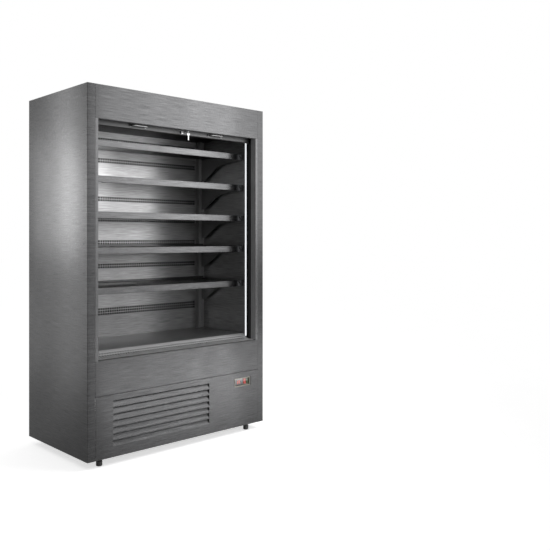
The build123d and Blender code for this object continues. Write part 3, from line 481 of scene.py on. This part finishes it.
def foam(name, colour):
    """Rigid foam with open cells."""
    graph = Graph(bpy.data.materials.new(name))
    place = place_of(graph)
    cells = graph.node(
        "ShaderNodeTexVoronoi", inputs={"Vector": place, "Scale": 260.0}, output="Distance"
    )
    cell_part = 0.6
    tone = cells * cell_part + graph.noise(place, scale=8.0, detail=3.0) * (1.0 - cell_part)
    return graph.surface(
        graph.principled(
            {
                "Base Color": graph.blend(tone, shaded(colour, 0.75), shaded(colour, 1.1)),
                "Roughness": 0.9,
                "Normal": graph.bump(cells, distance=0.0006, strength=0.6),
            }
        )
    )


def finned(name, colour, pitch=0.0028):
    """Coil fins: fine upright plates, with painted shade in the gaps between them."""
    graph = Graph(bpy.data.materials.new(name))
    x, _, _ = graph.split(place_of(graph))
    fin = graph.ramp(waves(x, pitch), low=0.15, high=0.55)
    return graph.surface(
        graph.principled(
            {
                # Painted shade: the gaps between the fins are darkened.
                "Base Color": graph.blend(fin, shaded(colour, 0.12), opaque(colour)),
                "Metallic": fin * 0.9,
                "Roughness": 0.55 - fin * 0.2,
                "Normal": graph.bump(fin, distance=0.0006, strength=0.8),
            }
        )
    )


def light_cover(name, colour, diode_pitch=0.012):
    """Opal cover over a row of diodes."""
    graph = Graph(bpy.data.materials.new(name))
    _, _, z = graph.split(place_of(graph))
    return graph.surface(
        graph.principled(
            {
                "Base Color": opaque((0.8, 0.82, 0.84)),
                "Roughness": 0.3,
                "Emission Color": graph.blend(waves(z, diode_pitch), shaded(colour, 0.9), opaque(colour)),
                "Emission Strength": 0.8,
            }
        )
    )


def lit(name, colour, glow, strength):
    """Lit plastic: a rocker or a digit."""
    graph = Graph(bpy.data.materials.new(name))
    cloud = graph.noise(place_of(graph), scale=300.0)
    return graph.surface(
        graph.principled(
            {
                "Base Color": graph.uneven(cloud, colour, spread=0.1),
                "Roughness": 0.25,
                "Emission Color": graph.blend(cloud, shaded(glow, 0.85), opaque(glow)),
                "Emission Strength": strength,
            }
        )
    )


def steel(settings, tone=1.0):
    """The cabinet's brushed steel, made darker or lighter, as brushed_shader takes it."""
    return {
        "colour": shaded(settings.steel, tone),
        "roughness": settings.steel_roughness,
        "variation": settings.brushing,
        "anisotropy": settings.anisotropy,
        "edge": settings.steel_edge,
    }


def inner_steel(settings):
    """The sheet that lines the cabinet, as brushed_shader takes it."""
    return {
        **steel(settings),
        "colour": settings.inner_steel,
        "roughness": settings.inner_roughness,
        "anisotropy": settings.inner_anisotropy,
        "metallic": 0.85,
    }


def rolled_aluminium(colour, roughness):
    """The aluminium of the bottom bar and the slats, as brushed_shader takes it."""
    return {"colour": colour, "roughness": roughness, "variation": 0.2, "anisotropy": 0.3}


def finishes(settings):
    """Every record slot's material."""
    # The bottom bar's aluminium is darkened to 0.16 of the guides' as painted shade.
    bar = rolled_aluminium(shaded(settings.aluminium, 0.16), roughness=0.42)
    return {
        "brushed_steel": lined_steel("brushed_steel_finish", steel(settings), inner_steel(settings)),
        "casing_steel": galvanised("casing_finish", settings.casing),
        "foam": foam("foam_finish", (0.62, 0.5, 0.3)),
        "aluminium": brushed_metal("aluminium_finish", **bar),
        "coil_fins": finned("fin_finish", (0.6, 0.6, 0.6)),
        "light_lens": light_cover("light_finish", settings.light),
        "chrome": smooth_metal("chrome_finish", settings.chrome, roughness=0.26),
        "rubber": moulded("rubber_finish", (0.004, 0.004, 0.004), roughness=0.7),
        "price_rail": brushed_metal("rail_finish", **steel(settings, tone=1.2)),
        # The white honeycomb is painted grey as shade.
        "white_plastic": moulded("honeycomb_finish", (0.2, 0.2, 0.195), roughness=0.5),
        "bezel_plastic": moulded("bezel_finish", (0.17, 0.16, 0.13), roughness=0.4),
        "display_plastic": moulded(
            "display_finish", (0.008, 0.008, 0.008), roughness=0.12, grain=900.0, relief=0.0, coat=0.5
        ),
        "red_plastic": lit("red_rocker_finish", (0.25, 0.03, 0.025), glow=(0.6, 0.06, 0.04), strength=0.12),
        "green_plastic": lit(
            "green_rocker_finish", (0.015, 0.035, 0.012), glow=(0.06, 0.1, 0.03), strength=0.06
        ),
        "black_plastic": moulded("black_plastic_finish", (0.015, 0.015, 0.015), roughness=0.45),
        "motor_paint": moulded("motor_finish", (0.07, 0.07, 0.075), roughness=0.4, coat=0.2),
        "compressor_paint": moulded(
            "compressor_finish", (0.012, 0.012, 0.012), roughness=0.25, grain=90.0, relief=0.0002, coat=0.4
        ),
        "foot_metal": moulded("foot_finish", (0.02, 0.02, 0.02), roughness=0.45),
    }


def special_finishes(settings):
    """Materials for the nodes whose names start in these ways. A later line wins over an earlier one."""
    satin = shaded(settings.inner_steel, 0.9)
    # Painted shade: a dark copy of the inner steel for the canopy.
    dark = shaded(settings.inner_steel, 0.1)
    return {
        "shelf_": brushed_metal("shelf_finish", **steel(settings)),
        "shelf_brackets": extruded("bracket_finish", satin, metallic=0.6, roughness=0.42),
        "upright_": extruded("upright_finish", satin, metallic=0.3, roughness=0.4),
        "guide_": guide_metal("guide_finish", steel(settings, tone=1.5), settings.aluminium),
        "return_grille": smooth_metal("grille_finish", settings.grille, roughness=0.5, wear=0.1),
        # The canopy is painted dark as shade.
        "canopy": extruded("canopy_finish", dark, metallic=0.9, roughness=0.5),
        # The back panel's face inside the duct is painted dark as shade.
        "back_panel": galvanised("back_finish", settings.casing, painted_shade_before_y=DUCT_END_Y),
        # The tub under the grille is painted nearly black as the shade beneath it.
        "tub": galvanised("tub_finish", shaded(settings.casing, 0.02)),
    }


def node_finish(name):
    """The material that a CAD node has got."""
    node = frame["nodes"][name]
    if "record_slot" not in node:
        raise RuntimeError(f"{name} has no finish yet: run the finishes first")
    return node.data.materials[0]


def cad_front_and_left():
    """The levels of the left side panel's front and outer faces."""
    low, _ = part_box("side_panel_left")
    return low[1], low[0]


def mesh_piece(name, points, faces, finish, slot):
    """A new mesh object in the scene, shaded smooth between its creases."""
    mesh = bpy.data.meshes.new(name)
    mesh.from_pydata(points, [], faces)
    if mesh.validate():
        raise RuntimeError(f"{name} has faulty faces")
    bm = bmesh.new()
    bm.from_mesh(mesh)
    bmesh.ops.recalc_face_normals(bm, faces=bm.faces)
    bm.to_mesh(mesh)
    bm.free()
    mesh.shade_smooth()
    mesh.set_sharp_from_angle(angle=math.radians(CREASE_ANGLE))
    made = bpy.data.objects.new(name, mesh)
    bpy.context.scene.collection.objects.link(made)
    mesh.materials.append(finish)
    return made


def thick_sheet(net, place, thickness):
    """A flat net of points and faces made into a sheet, with walls along its edges and round its holes.

    place turns a point of the net and a depth into a point in the scene.
    """
    points, faces = net
    size = len(points)
    edges = {(a, b) for face in faces for a, b in zip(face, face[1:] + face[:1])}
    walls = [[b, a, a + size, b + size] for a, b in sorted(edges) if (b, a) not in edges]
    far_side = [[n + size for n in reversed(face)] for face in faces]
    placed = [place(u, v, depth) for depth in (0.0, thickness) for u, v in points]
    return placed, faces + far_side + walls


def square_holes(across, up):
    """A flat net between two rows of cut lines; every second cell in each row is a hole."""
    points = [(u, v) for u in across for v in up]
    rows = len(up)
    faces = []
    for i in range(len(across) - 1):
        for j in range(rows - 1):
            if i % 2 == 0 or j % 2 == 0:
                start = i * rows + j
                faces.append([start, start + rows, start + rows + 1, start + 1])
    return points, faces


def round_holes(half_width, reach, pitch, hole):
    """A flat net of six-sided cells with round holes in staggered rows, and with straight edges."""
    rise = pitch * math.sqrt(3) / 2
    corner_radius = pitch / math.sqrt(3)
    columns = int(2 * half_width / pitch)
    rows = int((reach - corner_radius) / rise)
    left = -columns * pitch / 2
    low = (reach - (rows - 1) * rise) / 2
    edge_slack = pitch / 100
    sides = 12
    points, faces, index = [], [], {}

    def number(u, v):
        key = (round(u, 6), round(v, 6))
        if key not in index:
            index[key] = len(points)
            points.append((u, v))
        return index[key]

    def trimmed(u, v):
        """Stretches the outermost cells to the sheet's edges."""
        if abs(u) > -left - (pitch / 2 + edge_slack):
            u = math.copysign(half_width, u)
        if v < low - corner_radius / 2 + edge_slack:
            v = 0.0
        if v > reach - low + corner_radius / 2 - edge_slack:
            v = reach
        return u, v

    for row in range(rows):
        shift = pitch / 2 * (row % 2)
        for column in range(columns - row % 2):
            u, v = left + pitch / 2 + shift + column * pitch, low + row * rise
            outer, inner = [], []
            for side in range(sides):
                angle = 2 * math.pi * side / sides
                radius = corner_radius if side % 2 else pitch / 2
                along, up = math.cos(angle), math.sin(angle)
                outer.append(number(*trimmed(u + radius * along, v + radius * up)))
                inner.append(number(u + hole / 2 * along, v + hole / 2 * up))
            for side in range(sides):
                after = (side + 1) % sides
                face = [inner[side], outer[side], outer[after], inner[after]]
                faces.append(list(dict.fromkeys(face)))  # in the sheet's corners two points become one
    return points, faces


def widen(net, axis, start, end, keep=lambda point: True):
    """Adds plain strips to a net from its edge at start out to end, where both ends of an edge are kept."""
    points, faces = net
    edges = {(a, b) for face in faces for a, b in zip(face, face[1:] + face[:1])}
    moved = {}
    for a, b in sorted(edges):
        ends = points[a], points[b]
        if all(abs(point[axis] - start) < SAME_PLACE and keep(point) for point in ends):
            for n in (a, b):
                if n not in moved:
                    moved[n] = len(points)
                    place = list(points[n])
                    place[axis] = end
                    points.append(tuple(place))
            faces.append([b, a, moved[a], moved[b]])
    return points, faces


def along_path(path, inner_path, thickness):
    """A placer for thick_sheet that bends a sheet along two matching outlines of (y, z) points."""
    lengths = [math.dist(a, b) for a, b in zip(path, path[1:])]

    def place(u, v, depth):
        step = 0
        while step < len(lengths) - 1 and v > lengths[step] + SAME_PLACE:
            v -= lengths[step]
            step += 1
        part = v / lengths[step]
        outside = Vector(path[step]).lerp(Vector(path[step + 1]), part)
        inside = Vector(inner_path[step]).lerp(Vector(inner_path[step + 1]), part)
        return (u, *outside.lerp(inside, depth / thickness))

    return place


def bars(outlines):
    """Points and faces of straight bars; each outline is two matching rings of points."""
    points, faces = [], []
    for first, last in outlines:
        start, size = len(points), len(first)
        points += [*first, *last]
        faces.append([start + n for n in range(size)])
        faces.append([start + size + n for n in reversed(range(size))])
        for n in range(size):
            after = (n + 1) % size
            faces.append([start + n, start + size + n, start + size + after, start + after])
    return points, faces


def hole_cuts(middle, count, hole, pitch):
    """Cut lines on both sides of each of a row's holes."""
    first = middle - ((count - 1) * pitch + hole) / 2
    return [first + number * pitch + side for number in range(count) for side in (0.0, hole)]


class FRIDGE_OT_finishes(Operator):
    """Gives every CAD node its procedural finish"""

    bl_idname = "fridge.finishes"
    bl_label = "Finishes"

    def execute(self, context):
        slots = {part["node"]: part["material_slot"] for part in frame["record"]["subparts"]}
        made = finishes(context.scene.fridge_finish)
        special = special_finishes(context.scene.fridge_finish)
        for name, node in frame["nodes"].items():
            node["record_slot"] = slots[name]
            finish = made[slots[name]]
            for start, own_finish in special.items():
                if name.startswith(start):
                    finish = own_finish
            node.data.materials.clear()
            node.data.materials.append(finish)
        return {"FINISHED"}


class FRIDGE_OT_duct_panel(Operator):
    """Makes the perforated panel behind the shelves, with its bands of square holes"""

    bl_idname = "fridge.duct_panel"
    bl_label = "Perforated back panel"

    # The middle of each band of holes, and the rows of holes in it.
    band_heights = (0.748, 1.028, 1.173, 1.315, 1.44, 1.676, 1.8)
    band_rows = (3, 2, 2, 2, 2, 2, 2)
    half_width = 0.515  # of the bands

    def execute(self, context):
        sizes = context.scene.fridge_size
        low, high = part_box("duct_panel")
        hole, pitch = sizes.duct_hole, sizes.duct_pitch
        up = [low[2]]
        for middle, rows in zip(self.band_heights, self.band_rows):
            up += hole_cuts(middle, rows, hole, pitch)
        across = [low[0], *hole_cuts(0.0, int(2 * self.half_width / pitch), hole, pitch), high[0]]
        net = square_holes(across, [*up, high[2]])
        panel = mesh_piece(
            "perforated_back",
            *thick_sheet(net, lambda u, v, depth: (u, low[1] + depth, v), high[1] - low[1]),
            node_finish("duct_panel"),
            "brushed_steel",
        )
        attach(panel, "cabinet")
        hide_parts("duct_panel")
        return {"FINISHED"}


class FRIDGE_OT_grille(Operator):
    """Makes the return-air grille with its staggered long holes"""

    bl_idname = "fridge.grille"
    bl_label = "Return-air grille"

    # The sheet's outline from the sill up, over the bend and down behind the deck, as (y, z).
    outside = ((-0.341, 0.5613), (-0.341, 0.566), (-0.262, 0.566), (-0.2043, 0.59), (-0.2043, 0.57))
    inside = ((-0.3398, 0.5613), (-0.3398, 0.5648), (-0.2617, 0.5648), (-0.2055, 0.5881), (-0.2055, 0.57))
    thickness = 0.0012
    half_width = 0.5477  # between the guides
    full_half_width = 0.5647  # behind them
    guides_end_y = -0.2407
    stretch = 1.9  # the holes are this much longer from front to rear than they are wide

    def execute(self, context):
        sizes = context.scene.fridge_size
        lip, flat, slope, fold = (math.dist(a, b) for a, b in zip(self.outside, self.outside[1:]))
        reach = (flat + slope) / self.stretch
        points, faces = round_holes(self.half_width, reach, sizes.grille_pitch, sizes.grille_hole)
        net = [(u, v * self.stretch + lip) for u, v in points], faces
        bend_y, rear_y = self.outside[2][0], self.outside[3][0]
        notch_end = lip + flat + slope * (self.guides_end_y - bend_y) / (rear_y - bend_y)
        for side in (-1.0, 1.0):
            near, far = side * self.half_width, side * self.full_half_width
            net = widen(net, 0, near, far, lambda point: point[1] > notch_end)
        net = widen(net, 1, lip, 0.0)
        net = widen(net, 1, lip + flat + slope, lip + flat + slope + fold)
        grille = mesh_piece(
            "return_air_grille",
            *thick_sheet(net, along_path(self.outside, self.inside, self.thickness), self.thickness),
            node_finish("return_grille"),
            "brushed_steel",
        )
        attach(grille, "cabinet")
        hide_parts("return_grille")
        return {"FINISHED"}


class FRIDGE_OT_shutter(Operator):
    """Makes the slatted curtain at rest, with its slats spaced for the bottom bar's travel down"""

    bl_idname = "fridge.shutter"
    bl_label = "Roller shutter slats"

    # One slat's outline: how far down as a share of its pitch, how far back as a share of its thickness.
    outline = (
        (0.0, 0.3), (0.035, 0.3), (0.06, 0.1), (0.2, 0.03), (0.5, 0.0), (0.8, 0.03), (0.94, 0.1),
        (0.965, 0.3), (1.0, 0.3), (1.0, 0.75), (0.9, 0.95), (0.1, 0.95), (0.0, 0.75),
    )
    travel = 1.2327  # of the bottom bar
    halvings = 40

    def unrolled_share(self, drop, rest_height):
        """How far down the resting curtain a point lies that hangs at drop when the shutter is closed."""
        low, high = 0.0, 1.0
        for _ in range(self.halvings):
            middle = (low + high) / 2
            eased = middle * middle * (3 - 2 * middle)  # the eased share of the travel here
            if rest_height * middle + self.travel * eased < drop:
                low = middle
            else:
                high = middle
        return (low + high) / 2

    def execute(self, context):
        low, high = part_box("curtain")
        rest_height = high[2] - low[2]
        full_height = rest_height + self.travel
        count = round(full_height / context.scene.fridge_size.slat_pitch)
        pitch = full_height / count
        outlines = []
        for slat in range(count):
            rings = []
            for x in (low[0], high[0]):
                ring = []
                for down, deep in self.outline:
                    part = self.unrolled_share((slat + down) * pitch, rest_height)
                    ring.append((x, low[1] + deep * (high[1] - low[1]), high[2] - part * rest_height))
                rings.append(ring)
            outlines.append(rings)
        curtain = mesh_piece(
            "shutter_slats",
            *bars(outlines),
            brushed_metal(
                "slat_finish", **rolled_aluminium(context.scene.fridge_finish.slats, roughness=0.36)
            ),
            "aluminium",
        )
        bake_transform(curtain)
        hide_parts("curtain")
        return {"FINISHED"}


class FRIDGE_OT_trim(Operator):
    """Makes the sill's black rubber strip, a seal that also paints the shade of the gap there, and the
    screws of the rear panels
    """

    bl_idname = "fridge.trim"
    bl_label = "Sill lip and screws"

    # The lip's outline as (y, z).
    lip = (
        (-0.3412, 0.5612), (-0.3444, 0.5612), (-0.345, 0.5628),
        (-0.3449, 0.5656), (-0.3438, 0.5668), (-0.3412, 0.567),
    )
    seal_and_shade_half_width = 0.5476
    # The screws' places across and up the rear panels.
    screw_columns = (-0.54, -0.27, 0.0, 0.27, 0.54)
    screw_rows = (0.06, 0.36, 0.395, 0.9, 1.42, 1.94)
    # A screw head's outline as (radius, height), from its rim in to the bottom of its recess.
    screw_outline = ((0.0042, 0.0), (0.004, 0.0011), (0.0029, 0.0019), (0.0017, 0.0021), (0.0013, 0.0009))
    sides = 16

    def execute(self, context):
        self.make_seal_and_shade()
        self.make_screws()
        return {"FINISHED"}

    def make_seal_and_shade(self):
        """The black rubber lip along the sill: a seal, and painted shade in the gap there."""
        rings = [[(x, y, z) for y, z in self.lip] for x in (-self.seal_and_shade_half_width, self.seal_and_shade_half_width)]
        lip = mesh_piece("sill_seal_and_shade", *bars([rings]), node_finish("bar_seal"), "rubber")
        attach(lip, "cabinet")

    def make_screws(self):
        """The rear panels' screw heads, as one piece."""
        back_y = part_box("back_panel")[1][1]
        points, faces = [], []
        for x in self.screw_columns:
            for z in self.screw_rows:
                head_points, head_faces = self.screw_head(x, back_y, z)
                faces += [[len(points) + n for n in face] for face in head_faces]
                points += head_points
        screws = mesh_piece("panel_screws", points, faces, node_finish("lock_barrel"), "chrome")
        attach(screws, "cabinet")

    def screw_head(self, x, y, z):
        """Points and faces of one screw head, open towards the panel."""
        points, faces = [], []
        for radius, height in self.screw_outline:
            start = len(points)
            for side in range(self.sides):
                angle = 2 * math.pi * side / self.sides
                points.append((x + radius * math.cos(angle), y + height, z + radius * math.sin(angle)))
                if start > 0:
                    here, after = start + side, start + (side + 1) % self.sides
                    faces.append([here, after, after - self.sides, here - self.sides])
        faces.append([start + side for side in range(self.sides)])
        return points, faces


class FRIDGE_OT_digits(Operator):
    """Makes the display's lit seven-segment number"""

    bl_idname = "fridge.digits"
    bl_label = "Display digits"

    # Each segment's middle as shares of a digit's width and half height, and whether it lies level.
    segments = {
        "a": (0.0, 1.0, True), "b": (0.5, 0.5, False), "c": (0.5, -0.5, False), "d": (0.0, -1.0, True),
        "e": (-0.5, -0.5, False), "f": (-0.5, 0.5, False), "g": (0.0, 0.0, True),
    }
    shown = ("abgcd", "afgcd")  # three, five
    width_share = 0.52  # of the height
    breadth_share = 0.13  # of the height
    gap_share = 0.4  # of the breadth, left open where segments meet
    relief = 0.0003
    glow_strength = 0.35

    def segment(self, middle, length, breadth, level):
        """A flat bar with pointed ends, as two rings of points."""
        x, y, z = middle
        half, side = length / 2, breadth / 2
        upper = [(-half, 0.0), (side - half, side), (half - side, side)]
        outline = upper + [(-u, -v) for u, v in upper]
        if not level:
            outline = [(v, u) for u, v in outline]
        return [[(x + u, y - depth, z + v) for u, v in outline] for depth in (0.0, self.relief)]

    def execute(self, context):
        height = context.scene.fridge_size.digit_height
        low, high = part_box("control_display")
        width, breadth = height * self.width_share, height * self.breadth_share
        middle_z = (low[2] + high[2]) / 2
        outlines = []
        for number, lit_segments in enumerate(self.shown):
            middle_x = (low[0] + high[0]) / 2 + (number - 0.5) * height
            for name in lit_segments:
                along, up, level = self.segments[name]
                span = (width if level else height / 2) - breadth * self.gap_share
                middle = (middle_x + along * width, low[1], middle_z + up * height / 2)
                outlines.append(self.segment(middle, span, breadth, level))
        glow = context.scene.fridge_finish.digits
        finish = lit("digit_finish", glow, glow, self.glow_strength)
        digits = mesh_piece("display_digits", *bars(outlines), finish, "display_plastic")
        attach(digits, "cabinet")
        return {"FINISHED"}


class FRIDGE_OT_stage(Operator):
    """Sets the floor, the surroundings, the lamps and the camera"""

    bl_idname = "fridge.stage"
    bl_label = "Stage"

    # The camera's place, turn and view.
    eye = (-2.3864, -3.6097, 1.2019)
    look_right = 43.54  # degrees from straight back
    picture_shift = -0.0678  # upward, as a share of the picture's side
    film_width = 36.0  # millimetres
    sight = 100.0  # metres that the camera sees
    # The front's bank of like lamps: columns as (x, width) and rows as (z, height).
    bank_y = -1.52
    bank_columns = ((0.35, 0.45), (0.8, 0.35), (1.16, 0.3), (1.55, 0.45))
    bank_rows = ((0.12, 0.3), (1.4, 0.6), (1.95, 0.5), (2.45, 0.5))
    # The left panel's main and dim lamps as (y, z, width, height).
    side_x = -1.31
    main_lamps = ((1.2, 1.5, 0.08, 0.8), (1.45, 1.5, 0.3, 0.8))
    dim_lamps = ((1.1, 0.5, 0.25, 0.8), (1.25, 2.2, 0.15, 0.6), (1.8, 0.5, 0.4, 0.8))
    # The soft lamp in front of the perforated panel.
    inner_place = (-0.1, -0.14, 1.6)
    inner_aim = (-0.3, 0.235, 1.6)
    inner_size = (0.3, 0.3)
    # The floor, and its glow where the camera sees it and where metal or glass shows it.
    floor_reach = 30.0
    floor_drop = 0.0005  # below the feet, so that the two don't lie in one plane
    floor_glow_seen = 0.6
    floor_glow_mirrored = 0.1

    def execute(self, context):
        settings = context.scene.fridge_stage
        context.scene.view_settings.view_transform = "Standard"
        self.surroundings(context, settings)
        self.floor(context, settings)
        front_y, left_x = cad_front_and_left()
        for x, width in self.bank_columns:
            for z, height in self.bank_rows:
                place = (x, self.bank_y, z)
                aim = self.glint(place, 1, front_y)
                self.lamp(context, "front_lamp", settings.front_lamp, place, aim, (width, height))
        for lamps, part in ((self.main_lamps, 1.0), (self.dim_lamps, settings.dim_share)):
            for y, z, width, height in lamps:
                place = (self.side_x, y, z)
                aim = self.glint(place, 0, left_x)
                self.lamp(context, "side_lamp", settings.side_lamp * part, place, aim, (width, height))
        self.lamp(
            context, "inner_lamp", settings.inner_lamp, self.inner_place, self.inner_aim, self.inner_size
        )
        self.camera(context, settings)
        return {"FINISHED"}

    def glint(self, place, axis, level):
        """The point of a flat face across the given axis at which the camera sees a lamp mirrored."""
        mirrored_eye = Vector(self.eye)
        mirrored_eye[axis] = 2 * level - mirrored_eye[axis]
        part = (level - place[axis]) / (mirrored_eye[axis] - place[axis])
        return Vector(place).lerp(mirrored_eye, part)

    def surroundings(self, context, settings):
        """White for the camera and for what mirrors or shows it, softer as light."""
        world = context.scene.world or bpy.data.worlds.new("studio")
        context.scene.world = world
        graph = Graph(world)
        seen = graph.rays("Is Camera Ray", "Is Glossy Ray", "Is Transmission Ray")
        strength = seen * (1.0 - settings.surround) + settings.surround
        graph.surface(
            graph.node("ShaderNodeBackground", inputs={"Color": opaque(1.0), "Strength": strength})
        )

    def floor_glow(self, graph):
        """Lifts the floor to white for the camera, and part of the way where metal or glass shows it."""
        mirrored = graph.rays("Is Glossy Ray", "Is Transmission Ray")
        return graph.rays("Is Camera Ray") * self.floor_glow_seen + mirrored * self.floor_glow_mirrored

    def floor(self, context, settings):
        """A wide pale floor that shows white and keeps the shadow."""
        graph = Graph(bpy.data.materials.new("floor_finish"))
        grain = graph.noise(place_of(graph), scale=3.0)
        paint = graph.node(
            "ShaderNodeBsdfDiffuse", inputs={"Color": graph.uneven(grain, settings.floor, spread=0.02)}
        )
        glow = graph.node(
            "ShaderNodeEmission", inputs={"Color": opaque(1.0), "Strength": self.floor_glow(graph)}
        )
        graph.surface(graph.node("ShaderNodeAddShader", inputs={0: paint, 1: glow}))
        mesh = bpy.data.meshes.new("studio_floor")
        reach = self.floor_reach
        mesh.from_pydata(
            [(-reach, -reach, 0.0), (reach, -reach, 0.0), (reach, reach, 0.0), (-reach, reach, 0.0)],
            [],
            [(0, 1, 2, 3)],
        )
        mesh.materials.append(graph.owner)
        made = bpy.data.objects.new("studio_floor", mesh)
        made.location.z = -self.floor_drop
        context.scene.collection.objects.link(made)

    def lamp(self, context, name, watts, place, aim, size):
        """A plain rectangular lamp that the camera doesn't see."""
        data = bpy.data.lights.new(name, "AREA")
        data.shape = "RECTANGLE"
        data.size, data.size_y = size
        data.energy = watts
        made = bpy.data.objects.new(name, data)
        made.location = place
        made.rotation_euler = (Vector(aim) - Vector(place)).to_track_quat("-Z", "Y").to_euler()
        made.visible_camera = False
        context.scene.collection.objects.link(made)

    def camera(self, context, settings):
        """The photograph's point of view."""
        data = bpy.data.cameras.new("photo_camera")
        data.lens = settings.focal_length
        data.sensor_width = self.film_width
        data.shift_y = self.picture_shift
        data.clip_end = self.sight
        made = bpy.data.objects.new("photo_camera", data)
        made.location = self.eye
        made.rotation_euler = (math.radians(90.0), 0.0, math.radians(-self.look_right))
        context.scene.collection.objects.link(made)
        context.scene.camera = made


OPERATORS = (
    FRIDGE_OT_finishes,
    FRIDGE_OT_duct_panel,
    FRIDGE_OT_grille,
    FRIDGE_OT_shutter,
    FRIDGE_OT_trim,
    FRIDGE_OT_digits,
    FRIDGE_OT_stage,
)
SETTINGS = {"fridge_finish": FinishSettings, "fridge_size": SizeSettings, "fridge_stage": StageSettings}


class FRIDGE_PT_pieces(Panel):
    """Lists the fridge's operators and settings"""

    bl_idname = "FRIDGE_PT_pieces"
    bl_label = "Display fridge"
    bl_space_type = "VIEW_3D"
    bl_region_type = "UI"
    bl_category = "Display fridge"

    def draw(self, context):
        for operator in OPERATORS:
            self.layout.operator(operator.bl_idname)
        for name in SETTINGS:
            group = getattr(context.scene, name)
            box = self.layout.box()
            for setting in group.bl_rna.properties:
                if setting.identifier not in {"rna_type", "name"}:
                    box.prop(group, setting.identifier)


def register():
    for name, group in SETTINGS.items():
        bpy.utils.register_class(group)
        setattr(bpy.types.Scene, name, PointerProperty(type=group))
    for operator in OPERATORS:
        bpy.utils.register_class(operator)
    bpy.utils.register_class(FRIDGE_PT_pieces)


def unregister():
    bpy.utils.unregister_class(FRIDGE_PT_pieces)
    for operator in reversed(OPERATORS):
        bpy.utils.unregister_class(operator)
    for name, group in reversed(SETTINGS.items()):
        delattr(bpy.types.Scene, name)
        bpy.utils.unregister_class(group)


def main():
    register()
    for operator in OPERATORS:
        group, name = operator.bl_idname.split(".")
        getattr(getattr(bpy.ops, group), name)()


if __name__ == "__main__":
    main()
